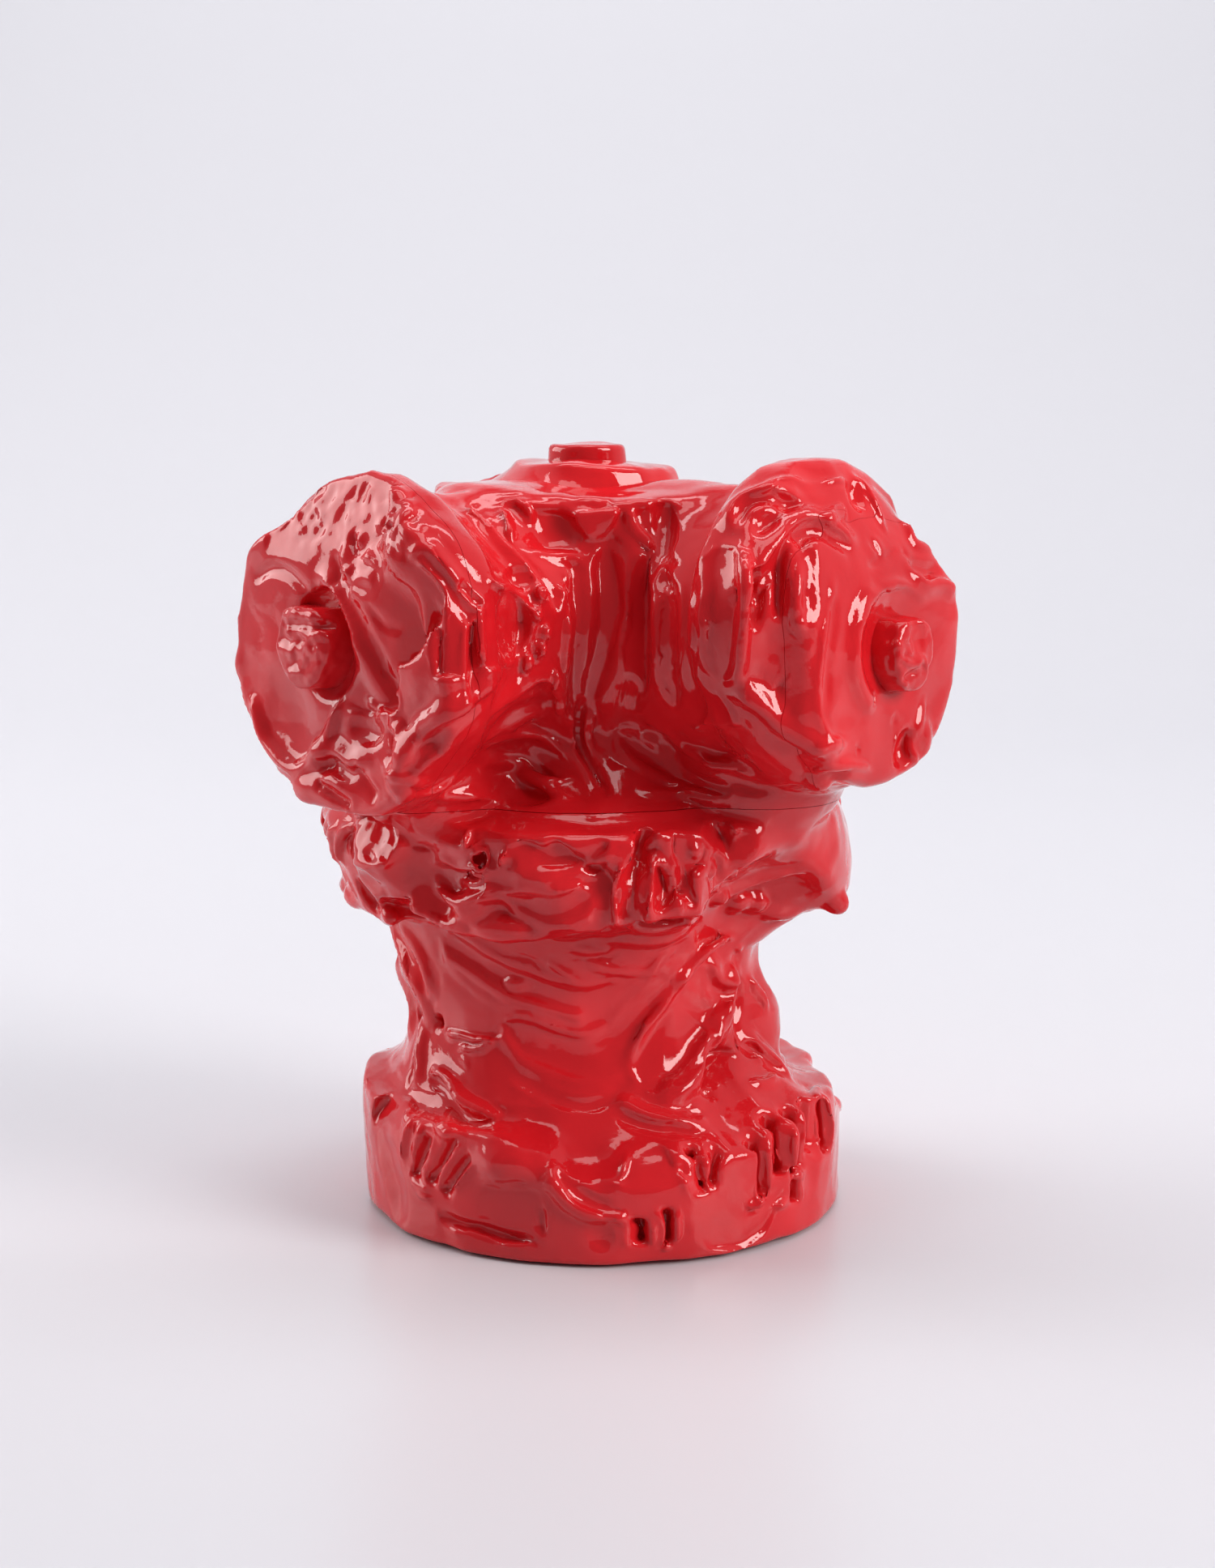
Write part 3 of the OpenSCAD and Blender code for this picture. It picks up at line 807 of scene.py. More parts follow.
def model_valley(clay):
    """The hollow between the outlets, from the top's worn edge down to the band."""
    front = Hand(clay, from_front)
    # worn front edge of the top, with a scrap hanging from it
    front.ridge([(-37, 281), (-26, 280.5), (-17, 279), (-9, 277.5), (-2, 278.5)], 2.2, 1.6, 1.5)
    front.ridge([(6, 280), (14, 280.5), (22, 281), (30, 280)], 2.0, 1.6, 1.5)
    front.flap([(-9, 278), (9, 279), (1, 263)], 4.0, (1.5, 2.5, 0.5))
    front.ridge([(-28, 281), (-24, 276), (-22, 271)], 2.2, 2.2, 1.5)
    front.ridge([(-36, 279), (-33, 273), (-30, 269)], 2.0, 2.2, 1.5)
    front.lump((-16, 270), (9, 9, 5), 1.5, 2.5, cut=True)
    front.ridge([(-23, 264), (-15, 262), (-7, 261), (0, 256)], 2.4, 1.6, 2.5)
    # torn strip beside the hollow
    rng = np.random.default_rng(11)
    for z in np.arange(208, 257, 5.2):
        x = -12 + rng.uniform(-3, 3.5)
        front.lump((x, z), (rng.uniform(1.4, 2.4), rng.uniform(2.5, 5), 1.6), 0.3, 1.2)
    front.groove([(-8, 258), (-7, 240), (-7, 222), (-6, 210)], 3.0, 2.0, 1.5)
    # upright folds drawn with the fingers
    front.drag([(3, 264), (5, 245), (3, 228), (-2, 208)], 15, 3.2, 0.6)
    front.fold([(12, 270), (14.5, 252), (13.5, 238), (9, 221), (4, 202)], 2.4, 9, way=-1)
    front.ridge([(12, 279), (13, 272), (17, 268), (20, 264)], 2.4, 2.4, 1.6)
    front.groove([(25, 281), (25, 272), (24, 262)], 4.5, 4.0, 1.5)
    front.chisel([(18.5, 260), (17.5, 212)], 3.4, 2.4, 0.3)
    front.drag([(25.5, 262), (25.5, 246), (26, 230), (28, 208)], 12, 2.0, 0.5)
    front.ridge([(33, 257), (34, 245), (34, 232)], 2.2, 1.4, 2.5)
    front.lump((38.5, 243), (3.0, 6, 3.0), 0.4, 1.5)
    front.drag([(43, 270), (44, 255), (43, 238), (43, 222)], 16, 1.8, 0.4)
    # floor of the valley
    front.groove([(-5, 209), (-7, 200), (-6, 191), (-1, 184), (4, 176)], 1.8, 3.0, 0.8)
    front.ridge([(-9, 204), (-10, 197), (-8, 191)], 1.4, 1.6, 1.0)
    front.ridge([(-3, 204), (-4, 196), (-2, 189)], 1.4, 1.6, 1.0)
    front.ridge([(11, 200), (14, 199), (16, 202)], 2.2, 2.0, 1.2)
    front.drag([(8, 196), (20, 188), (34, 181), (50, 178)], 12, 2.0, 1.0)
    front.fold([(20, 201), (27, 198), (31, 192), (40, 187), (52, 185), (62, 182), (70, 183)],
               2.6, 6, way=1)
    front.flap([(44, 217), (38, 203), (51, 206)], 3.5, (0.5, 1.5, 2.0))
    front.ridge([(35, 201), (39, 202), (41, 206)], 1.6, 1.8, 1.0)
    front.drag([(-40, 192), (-26, 190), (-14, 183), (-6, 176)], 14, 2.0, 1.0)
    front.ridge([(-30, 181), (-20, 179), (-12, 180)], 2.4, 1.4, 2)
    front.ridge([(18, 176), (30, 174), (44, 174)], 2.2, 1.4, 2)
    front.lump((-4, 178), (6, 5, 2), 0.5, 3, cut=True)


def model_right_outlet(clay):
    """The right outlet: the hoods over its barrel, its cap's face and the rim's shoulder."""
    face, front = Hand(clay, RIGHT.face), Hand(clay, from_front)
    # rim and hoods over the barrel
    front.ridge([(58, 289), (66, 291), (76, 290.5), (88, 291)], 2.0, 1.6, 1.5)
    front.lump((59, 277), (9, 5, 4), 1.5, 2.0, cut=True)
    front.fold([(47, 277), (50, 283), (58, 287), (66, 287), (71, 284)], 3.0, 6, way=1)
    front.fold([(48, 256), (54, 260), (60, 267), (67, 274), (74, 278), (82, 275), (90, 270)],
               3.8, 7, way=1)
    front.groove([(56, 260), (55, 252), (55, 243)], 4.0, 4.0, 1.2)
    for x, z in ((54, 249), (57, 255)):
        front.lump((x, z), (1.8, 3.0, 1.8), 0.6, 1.2)
    front.groove([(64, 264), (64, 254), (64, 245)], 1.8, 2.6, 1.0)
    front.ridge([(67, 272), (69, 262), (70, 252), (70, 244)], 3.0, 2.2, 2.0)
    front.groove([(76, 266), (76, 256), (75, 247)], 4.0, 2.6, 1.5)
    front.lump((70, 242), (3.2, 2.4, 2.4), 0.4, 1.5)
    front.groove([(66, 237), (67, 226), (68, 215)], 12, 1.6, 3.0)
    front.ridge([(50.5, 233), (51, 229)], 1.8, 2.0, 1.0)
    front.lump((56, 222), (5, 6, 2), 0.6, 2.0, cut=True)
    front.lump((64, 219), (2, 3, 1.5), 0.3, 1.0, cut=True)
    front.fold([(50, 217), (58, 212), (66, 204), (74, 199), (82, 196)], 2.8, 7, way=1)
    front.ridge([(75, 196), (81, 199), (88, 198)], 2.4, 2.0, 1.5)
    front.lump((86, 186), (7, 3.5, 4), 1.5, 1.5, cut=True)
    front.ridge([(78, 188), (84, 191), (92, 190), (99, 187)], 1.8, 1.8, 1.0)
    front.lump((80, 184), (5, 6, 4), 0.5, 2.5)
    # the cap's face
    face.shave((-20, 18), 20, 0.6, tilt=(4, -4), blend=2.0)
    face.ridge([(-27, 24), (-34, 8), (-38, -10), (-38, -24), (-32, -34)], 1.6, 1.1, 1.5)
    face.groove([(-30, 16), (-33, 0), (-34, -18)], 3, 0.8, 2.0)
    face.groove([(0, 35), (4, 30), (-4, 27)], 1.2, 1.0, 0.7)
    face.groove([(-4, 27), (6, 29), (14, 31)], 1.4, 0.9, 0.7)
    face.ridge([(-8, 19), (-16, 10), (-19, -2), (-17, -13), (-9, -22)], 4.0, 2.9, 4.0)
    face.lump((7, -3), (20, 20, 4.6), 1.6, 1.5, cut=True)
    face.ridge([(-9, 16), (3, 21), (16, 19), (26, 13)], 2.2, 1.6, 1.5)
    face.fold([(20, 23), (28, 18), (36, 19), (46, 16)], 3.0, 6, way=-1)
    face.groove([(22, 26), (32, 23), (42, 24)], 3, 2.0, 1.5)
    face.lump((14, -41), (6, 8, 6), 1.0, 1.0, cut=True, spin=-35)
    face.ridge([(27, -25), (22, -33), (19, -42), (22, -48)], 2.0, 2.0, 1.0)
    face.lump((27, -38), (4, 6, 2.4), 0.2, 2.5)
    for p in ((2, -17), (-6, -20), (20, 30), (8, -30), (-14, -38)):
        face.lump(p, (1.6, 1.6, 1.6), 0.6, 0.8, cut=True)
    # shoulder of the rim above the face
    side = Hand(clay, RIGHT.side)
    side.lump((118, 4), (5, 7, 5), 1.5, 1.5, cut=True)
    side.ridge([(124, -26), (121, -19), (120, -10)], 2.6, 2.2, 2.0)
    side.lump((112, -14), (8, 6, 3), 1.0, 3.0, cut=True)
    side.ridge([(113, 8), (117, 14), (124, 18)], 2.2, 2.0, 1.5)
    side.ridge([(121, 34), (127, 42), (126, 54)], 2.4, 1.8, 2.0)
    for out, turn in ((120, 60), (124, 100), (122, 128), (118, 150)):
        side.lump((out, turn), (4, 6, 3), 0.0, 3.0)


def model_top_and_back(clay):
    """The faces that the front doesn't show, modelled with the same kinds of stroke."""
    top, ring = Hand(clay, from_above), Hand(clay, towards_axis)
    top.lump((24, -34), (17, 8, 3), -1.4, 3.0)
    rng = np.random.default_rng(23)
    for _ in range(14):
        x, y = rng.uniform(-45, 45), rng.uniform(0, 50)
        a = rng.uniform(0, math.pi)
        ends = [(x, y), (x + 14 * math.cos(a), y + 14 * math.sin(a))]
        top.ridge(ends, 2.6, 1.2, 3.0)
    for angle in range(100, 262, 18):
        bend = rng.uniform(-6, 6)
        stroke = [(angle, 272), (angle + bend, 245), (angle - bend / 2, 215), (angle + bend, 188)]
        if rng.uniform() < 0.6:
            ring.drag(stroke, rng.uniform(14, 20), rng.uniform(1.8, 3.0), 1.2)
        else:
            ring.fold(stroke, 2.6, 7, way=rng.choice((-1, 1)))
    for _ in range(26):
        place = (rng.uniform(95, 265), rng.uniform(180, 276))
        if rng.uniform() < 0.5:
            ring.shave(place, rng.uniform(7, 13), rng.uniform(0.8, 1.8),
                       (rng.uniform(-14, 14), rng.uniform(-14, 14)))
        else:
            ring.ridge([place, (place[0] + rng.uniform(-8, 8), place[1] - rng.uniform(6, 16))],
                       2.2, 1.8, 1.5)
    for outlet, back in ((LEFT, -1), (RIGHT, 1)):
        side = Hand(clay, outlet.side)
        for _ in range(22):
            out, turn = rng.uniform(62, 100), back * rng.uniform(46, 140)
            kind = rng.integers(4)
            if kind == 0:
                side.shave((out, turn), rng.uniform(8, 14), rng.uniform(1, 2.2),
                           (rng.uniform(-12, 12), rng.uniform(-12, 12)))
            elif kind == 1:
                side.drag([(out, turn - 22), (out + 3, turn), (out, turn + 22)], 13, 2.0, 1.0)
            elif kind == 2:
                side.ridge([(out - 9, turn), (out, turn + 5), (out + 9, turn)], 2.4, 2, 1.5)
            else:
                side.lump((out, turn), (7, 5, 3), 0.0, 3.0, spin=rng.uniform(0, 180))


def model_band(clay):
    """The band's panels, fin and slots in front, its torn left shoulder and its drips."""
    ring = Hand(clay, towards_axis)
    ring.chip((-70, 28, 126, 150), 24, 301, size=(10, 17), depth=(0.6, 1.7), tilt=15)
    ring.chip((-66, 40, 146, 165), 20, 302, size=(6, 10), depth=(0.6, 1.8), tilt=22)
    ring.chip((104, 290, 126, 165), 56, 303, size=(6, 13), tilt=24)
    # left shoulder: torn lump with strokes round its edge
    ring.lump((-51, 152), (15, 11, 7), -1.0, 5)
    ring.shave((-52, 155), 14, 2.4, tilt=(16, 6))
    for angle, z in ((-68, 150), (-74, 148), (-80, 148)):
        ring.ridge([(angle + 5, z + 9), (angle, z + 2), (angle - 1, z - 8)], 2.0, 2.2, 1.2)
    ring.ridge([(-64, 146), (-56, 147), (-46, 149), (-42, 151)], 2.4, 2.0, 1.5)
    ring.lump((-55, 139), (8, 5, 3), 1.0, 2.0, cut=True)
    ring.ridge([(-45, 146), (-43, 138), (-42, 128)], 2.6, 3.0, 1.2)
    ring.groove([(-38, 149), (-38, 140), (-36, 130)], 4.5, 4.5, 1.2)
    ring.ridge([(-62, 133), (-54, 130), (-46, 128)], 2.6, 1.8, 2.0)
    # front panels
    ring.groove([(-38, 162), (-30, 162), (-22, 163)], 5.0, 1.6, 1.0)
    ring.ridge([(-40, 157.5), (-32, 156.5), (-24, 157)], 1.6, 1.4, 1.0)
    ring.ridge([(-28.5, 158), (-29, 164)], 1.6, 2.2, 1.0)
    ring.ridge([(-20.5, 151), (-18.5, 158)], 1.8, 2.4, 1.0)
    ring.lump((-28.5, 153), (6, 4.5, 4), -0.8, 2.5)
    ring.drag([(-39, 147), (-31, 143), (-23, 146)], 14, 1.4, 0.8)
    ring.shave((-14, 152), 10, 1.0, tilt=(14, 5))
    ring.fold([(-3, 150), (-10, 149), (-15, 143), (-21, 140), (-30, 138)], 2.4, 7, way=-1)
    ring.drag([(-19, 140), (-10, 137), (-1, 141)], 13, 1.4, 0.8)
    ring.ridge([(-4, 155), (0, 158), (4, 157)], 2.2, 1.6, 1.2)
    # fin, slots and rib near the middle
    ring.ridge([(8, 154), (5.2, 154), (4.6, 146), (4.2, 132)], 1.3, 3.2, 0.8)
    ring.groove([(7.5, 151), (7.6, 142), (7.2, 133)], 4.0, 4.2, 0.9)
    ring.fold([(12, 155), (11.2, 145), (10.8, 133)], 3.4, 5, way=1)
    ring.ridge([(14, 152), (16, 142), (17, 134)], 1.8, 2.0, 1.0)
    ring.groove([(18.5, 151), (19.5, 143), (20, 137)], 3.0, 1.6, 1.2)
    ring.shave((12.6, 144), 9, 1.8, tilt=(6, 14))
    for points in ([(11, 157), (14, 163)], [(21, 160), (22, 154)], [(30, 158), (32, 165)]):
        ring.ridge(points, 2.2, 2.2, 1.2)
    ring.shave((27, 160), 9, 2.0, tilt=(20, 10))
    ring.shave((25, 144), 12, 1.6, tilt=(4, 9), blend=1.5)
    ring.ridge([(29, 154), (31, 148), (30, 142)], 2.0, 1.6, 1.4)
    for angle, z in ((27, 149), (34, 150), (31, 140), (37, 144)):
        ring.lump((angle, z), (1.8, 2.6, 1.8), 0.3, 1.4)
    # smooth right side with a flap that ends in drips
    ring.groove([(42, 157), (52, 150), (62, 150)], 14, 1.6, 4)
    ring.fold([(42, 132), (50, 137), (60, 143), (72, 148)], 2.4, 6, way=1)
    for angle, z, size in ((40, 130, 3.4), (50, 126, 4.4), (56, 125, 4.0), (74, 121.5, 4.6)):
        ring.lump((angle, z + 3), (size, size, size), 0.0, 3.5)
    # lower edge
    for angle, z, size in ((-60, 124, 6), (-47, 124, 5), (-35, 124, 6), (-22, 127, 7), (-8, 124, 5),
                           (2, 125, 4), (14, 127, 5), (26, 129, 5), (66, 122, 5), (84, 121, 6)):
        ring.lump((angle, z), (size * 1.6, size * 0.7, size * 0.6), 0.0, 3.0)
    rng = np.random.default_rng(31)
    for angle in range(108, 288, 13):
        z = rng.uniform(128, 152)
        kind = rng.integers(5)
        if kind == 0:
            ring.groove([(angle, 158), (angle + 2, 146), (angle, 132)], 3.4, 3.4, 1.0)
        elif kind == 1:
            ring.fold([(angle - 8, z), (angle, z + 7), (angle + 8, z + 2)], 2.6, 6)
        elif kind == 2:
            ring.lump((angle, z + 6), (10, 7, 5), 0.0, 4.0, spin=rng.uniform(-40, 40))
        elif kind == 3:
            ring.shave((angle, z + 6), 12, 2.4, (rng.uniform(-10, 20), rng.uniform(-15, 15)))
        else:
            ring.ridge([(angle, 162), (angle - 2, 150), (angle + 1, 136)], 2.2, 2.6, 1.2)
        ring.lump((angle + 5, 125), (9, 4, 3.5), 0.0, 3.0)


def model_column(clay):
    """The strokes that sweep round the column."""
    ring = Hand(clay, towards_axis)
    # long sweeping strokes
    ring.drag([(-50, 116), (-36, 105), (-20, 98), (-4, 94), (8, 96)], 16, 1.6, 0.8)
    ring.fold([(-48, 108), (-35, 99), (-24, 93.5), (-14, 89.5), (-5, 87), (3, 87)], 2.2, 6, way=1)
    ring.groove([(-12, 87.5), (-5, 85.5), (3, 85.5)], 1.2, 0.9, 0.8)
    ring.fold([(-24, 71), (-15, 65), (-8, 60.5), (0, 60), (4, 64), (8, 71), (13, 78)],
              2.4, 6, way=1)
    ring.drag([(-30, 84), (-16, 77), (-4, 73), (8, 78), (20, 90), (30, 100)], 18, 1.6, 0.8)
    ring.drag([(-2, 116), (10, 112), (24, 112), (36, 118)], 14, 1.4, 0.8)
    ring.ridge([(-15, 111), (-9, 107), (-7, 104)], 2.0, 1.2, 2.0)
    ring.ridge([(-8, 117), (-2, 116), (5, 117)], 1.8, 1.4, 1.5)
    ring.ridge([(12, 97), (16, 99), (19, 108), (26, 113)], 2.4, 1.6, 2.0)
    ring.ridge([(15.5, 101), (16, 94)], 1.6, 1.4, 1.2)
    ring.lump((-26, 101), (4, 2.4, 2.0), 0.4, 1.5)
    # twig-like scraps on the left
    ring.ridge([(-52, 76.5), (-44, 77.5), (-36, 76.5), (-33, 77)], 1.5, 2.4, 1.0)
    ring.ridge([(-46, 73), (-39, 74), (-34, 76)], 1.4, 2.0, 1.0)
    ring.groove([(-48, 75), (-40, 75.6), (-35, 75.6)], 1.0, 1.2, 0.7)
    ring.fold([(-53, 63), (-47, 60), (-42, 56), (-36, 52), (-30, 51)], 3.2, 5, way=1)
    ring.ridge([(-45, 69), (-42, 67)], 1.8, 1.8, 1.0)
    ring.lump((-57, 80), (3, 3.4, 4), 1.0, 1.0, cut=True)
    for points in ([(-84, 118), (-76, 104), (-66, 92), (-62, 78)], [(-70, 116), (-62, 106), (-58, 94)],
                   [(-98, 104), (-88, 92), (-80, 84), (-78, 70)], [(-66, 80), (-64, 68), (-60, 58)]):
        ring.fold(points, 2.8, 6, way=1)
    ring.ridge([(-72, 84), (-68, 72), (-66, 60)], 1.8, 2.0, 1.2)
    # right flank
    ring.fold([(27, 103), (33, 97), (40, 92), (48, 92)], 2.6, 6, way=1)
    ring.drag([(14, 62), (23, 72), (33, 84), (44, 98), (54, 110)], 26, 1.8, 0.1, blend=5.0)
    ring.fold([(44, 104), (47, 98), (52, 95), (58, 96)], 2.2, 6, way=1)
    ring.fold([(54, 100), (56, 90), (52, 80), (54, 70)], 2.6, 7, way=-1)
    ring.lump((82, 82), (10, 15, 4), -1.5, 7)
    ring.ridge([(66, 93), (71, 88), (73, 80)], 2.2, 2.0, 1.2)
    ring.fold([(24, 58), (32, 64), (41, 72), (47, 82)], 2.4, 8, way=-1)
    ring.shave((44, 62), 12, 1.4, tilt=(16, -8), blend=2.0)
    ring.fold([(8, 56), (14, 52), (22, 50), (28, 48)], 2.4, 6, way=1)
    ring.fold([(62, 72), (68, 64), (72, 57)], 2.6, 6, way=1)
    for points in ([(52, 58), (58, 56), (66, 57)], [(60, 64), (66, 60)]):
        ring.ridge(points, 2.0, 2.0, 1.2)
    rng = np.random.default_rng(41)
    for angle in range(100, 262, 14):
        z = rng.uniform(66, 104)
        bend = rng.uniform(-14, 14)
        stroke = [(angle - 12, z + bend), (angle, z), (angle + 12, z - bend / 2)]
        if rng.uniform() < 0.5:
            ring.drag(stroke, 15, 2.0, 1.0)
        else:
            ring.fold(stroke, 2.4, 6, way=rng.choice((-1, 1)))
        ring.shave((angle + 5, rng.uniform(60, 112)), 9, 1.2, (rng.uniform(-12, 12), 0))


def slot(ring, angle, low, high, width, depth, lean=0.0, wall=0.4):
    """An upright slot cut into the drum with a knife, with a burr along one edge."""
    drum_r, inset = 93, 2.4
    ring.chisel([(angle + lean, high), (angle - lean, low)], width * 1.6, depth, wall)
    ring.groove([(angle + lean, high - inset), (angle - lean, low + inset)],
                width * 0.4, depth * 1.15, 0.8, 0.7)
    burr = math.degrees(width * 0.7 / drum_r)
    ring.ridge([(angle + lean + burr, high), (angle - lean + burr, low)], 1.4, 1.6, 0.9)


def model_base(clay):
    """The drum's facets, tool marks, hollow and knife slots."""
    ring = Hand(clay, towards_axis)
    # left side: rim block, flat facets and three tool marks
    ring.shave((-62, 42), 13, 2.4, tilt=(24, -4))
    for angle in (-52, -47):
        ring.ridge([(angle + 2, 46), (angle, 38), (angle - 1, 30)], 2.0, 2.0, 1.0)
    for top, foot, z0, z1 in ((-41, -46, 41, 26), (-33, -40, 43, 26), (-28.5, -36, 38, 23)):
        ring.chisel([(top - 2.6, z0 + 1), (foot - 2.6, z1)], 6, 3.4, -0.4)
        ring.ridge([(top, z0), ((top + foot) / 2, (z0 + z1) / 2), (foot, z1)], 1.5, 1.6, 0.8)
    ring.lump((-37, 47), (6, 3.5, 3), 0.0, 1.5)
    for points in ([(-50, 24), (-46, 21), (-42, 23)], [(-48, 20), (-44, 17), (-41, 19)]):
        ring.ridge(points, 2.0, 1.6, 1.0)
    ring.groove([(-62, 34), (-58, 22), (-56, 12)], 12, 1.2, 4)
    # panel and long gouge low on the front
    ring.shave((-20, 21), 13, 1.4, tilt=(4, 0))
    ring.ridge([(-29, 30), (-20, 29.5), (-12, 31)], 1.6, 1.2, 1.2)
    ring.groove([(-13, 22), (-12.5, 17), (-13, 12)], 2.2, 2.0, 1.0)
    ring.groove([(-39, 13), (-33, 11.5), (-27, 11), (-20, 9.5), (-14, 9)], 2.4, 3.0, 0.9)
    for points in ([(-38, 9), (-32, 7.5), (-29, 9)], [(-24, 7), (-18, 6.5), (-14, 8)]):
        ring.ridge(points, 1.4, 1.4, 0.8)
    ring.lump((-23, 38), (9, 7, 5), -1.0, 4.0)
    # round hollow and its rolled rim
    ring.lump((-3, 40), (10, 9, 4), 1.0, 4.0, cut=True)
    ring.fold([(-11, 35), (-8.5, 31), (-6, 26), (-2, 22), (2, 20)], 3.4, 6, way=-1)
    ring.ridge([(2, 20.5), (5.5, 21), (8, 19), (7.4, 14), (6.6, 8.5)], 1.8, 2.2, 1.0)
    ring.lump((1, 12), (6, 6, 3), 1.0, 1.5, cut=True)
    ring.shave((12, 36), 10, 2.2, tilt=(6, 6))
    ring.ridge([(7.4, 42), (6.4, 38), (5.6, 35)], 1.6, 1.8, 0.9)
    slot(ring, 10.4, 9, 20, 5.0, 4.0)
    slot(ring, 16.5, 9, 22, 4.0, 3.0)
    ring.ridge([(13.6, 22), (14.8, 16), (14.6, 9)], 1.5, 2.0, 0.8)
    ring.lump((20.5, 37), (5, 6, 4), 1.0, 1.2, cut=True)
    ring.ridge([(19, 34), (21.5, 29), (24, 24)], 2.2, 2.4, 1.0)
    slot(ring, 24.2, 27, 44, 4.4, 4.6, lean=-0.8)
    slot(ring, 28.2, 28, 43, 5.0, 3.6, lean=0.6)
    # right block: a flat facet and knife slots under a sharp top edge
    ring.shave((34, 26), 23, 1.8, tilt=(1, -3), blend=2.0)
    slot(ring, 41.5, 20, 48, 6.0, 4.6, wall=-0.5)
    slot(ring, 48.5, 27, 50, 7.0, 5.4)
    slot(ring, 52.5, 14, 29, 4.6, 4.0, wall=0.0)
    slot(ring, 55.5, 26, 50, 6.4, 5.0, wall=-0.4)
    slot(ring, 61.5, 30, 50, 5.0, 4.0, wall=0.3)
    slot(ring, 68.0, 27, 51, 5.0, 3.4)
    for points in ([(37, 20), (40, 18), (43, 20)], [(45, 15), (49, 14), (52, 16)],
                   [(51, 24), (55, 25), (57, 23)]):
        ring.ridge(points, 1.8, 2.0, 0.9)
    ring.ridge([(43, 48.5), (54, 49.5), (66, 49.5), (76, 49)], 2.0, 1.6, 1.2)
    ring.groove([(60, 44), (60, 32), (59, 20)], 9, 1.4, 2.5)
    rng = np.random.default_rng(53)
    for angle in range(100, 262, 15):
        kind = rng.integers(3)
        if kind == 0:
            slot(ring, angle, rng.uniform(10, 18), rng.uniform(34, 46), 5.0, 3.6)
        elif kind == 1:
            ring.shave((angle, rng.uniform(18, 36)), 14, 2.0,
                       (rng.uniform(-8, 12), rng.uniform(-8, 8)))
        else:
            ring.fold([(angle - 7, 34), (angle, 28), (angle + 7, 33)], 2.6, 6)
        ring.lump((angle + 12, 44), (8, 4, 4), -2.0, 3.0)


# ---------------------------------------------------------------- nuts and crown

def block_out_nut(outlet, centre, half, start, end, seed):
    """An operating nut: a worn stub, flattened on five sides, standing out of its cap."""
    middle, reach = outlet.at(centre[0], centre[1], (start + end) / 2), 27
    clay = Clay(middle - reach, middle + reach, GRID * 0.6)
    _, x, y, z = clay.everywhere()
    right, up, out = outlet.coordinates(x, y, z)
    right, up = right - centre[0], up - centre[1]
    grow = 1 + 0.12 * np.clip((end - out) / (end - start), 0, 1)
    side = (np.sqrt((right / half[0]) ** 2 + (up / half[1]) ** 2) - grow) * min(half)
    for angle in (90, 155, 215, 325, 25):
        c, s = math.cos(math.radians(angle)), math.sin(math.radians(angle))
        flat = right * c + up * s - 0.74 * (half[0] * abs(c) + half[1] * abs(s)) * grow
        side = smooth_max(side, flat, 3.0)
    clay.f = smooth_max(smooth_max(side, out - end, 2.2), start - out, 1.0).astype(np.float32)
    clay.f += 0.35 * clay.noise(5.0, seed)
    clay.grit = clay.noise(2.2, seed + 1)
    return clay


def roughen_patches(clay):
    """Torn clay on the left cap's upper face, over the base's right block and on the band's left shoulder."""
    ring = Hand(clay, towards_axis)
    for hand, places, radius, amount in (
            (Hand(clay, LEFT.face), ((-20, 44), (2, 46), (22, 44), (36, 42), (8, 28)), 14, 0.85),
            (ring, ((34, 56), (38, 60), (31, 52)), 8, 0.4),
            (ring, ((-52, 156), (-46, 152), (-50, 149)), 11, 0.38)):
        for place in places:
            hand.roughen(place, radius, amount)


def model_nuts(left, right):
    """The strokes across the two nuts' faces."""
    left, right = Hand(left, LEFT.face), Hand(right, RIGHT.face)
    for up, size in ((9, 2.6), (2.5, 2.3), (-4, 2.6), (-12, 3.0)):
        left.ridge([(-22, up - 0.8), (-14, up + 1.0), (-6, up - 0.6), (1, up + 0.6)],
                   size, 0.55, 2.6)
    left.groove([(-22, 5.6), (-10, 6.2), (2, 5.4)], 1.6, 0.8, 1.2)
    right.lump((9, 2), (5, 6, 2), 0.6, 1.5, cut=True)
    right.ridge([(-1, -6), (6, -9), (12, -6), (16, -12)], 1.8, 1.6, 1.0)
    right.groove([(1, -13), (9, -12)], 1.6, 1.4, 0.8)


def block_out_crown():
    """The round cover on top and its nut, each in its own block of clay."""
    mid_x, top_z, nut_z = -3.0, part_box("crown_cover")[1][2] / MM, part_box("crown_nut")[1][2] / MM
    cover = Clay((mid_x - 40, -42, 277), (mid_x + 40, 42, top_z + 6), GRID * 0.8)
    _, x, y, z = cover.everywhere()
    r = np.sqrt((x - mid_x) ** 2 + y ** 2)
    droop = 0.05 * (x - mid_x) + 1.2 * np.clip((r - 14) / 18, 0, 1) ** 1.4
    left = np.clip((mid_x + 8 - x) / 30, 0, 1)
    skirt = 32 - 1.6 * left * np.clip((z - 287) / 7, 0, 1)
    skirt = skirt + (2 + 10 * left) * np.clip((292 - z) / 9, 0, 1) ** 1.3
    f = smooth_max(r - skirt, z + droop - top_z, 3.0)
    cover.f = np.maximum(f, 281 - z).astype(np.float32)
    cover.f += 1.2 * cover.noise((15, 15, 8), 61) + 0.5 * cover.noise(7, 62)
    nut = Clay((mid_x - 21, -20, top_z - 6), (mid_x + 19, 20, nut_z + 4), GRID * 0.6)
    _, x, y, z = nut.everywhere()
    side = np.sqrt((x - mid_x + 1) ** 2 + y ** 2) - 15 + 0.06 * (z - top_z)
    f = smooth_max(side, z - nut_z, 2.4)
    nut.f = np.maximum(f, top_z - 2 - z).astype(np.float32)
    nut.f += 0.4 * nut.noise((9, 9, 6), 63)
    return cover, nut


# ---------------------------------------------------------------- finishes

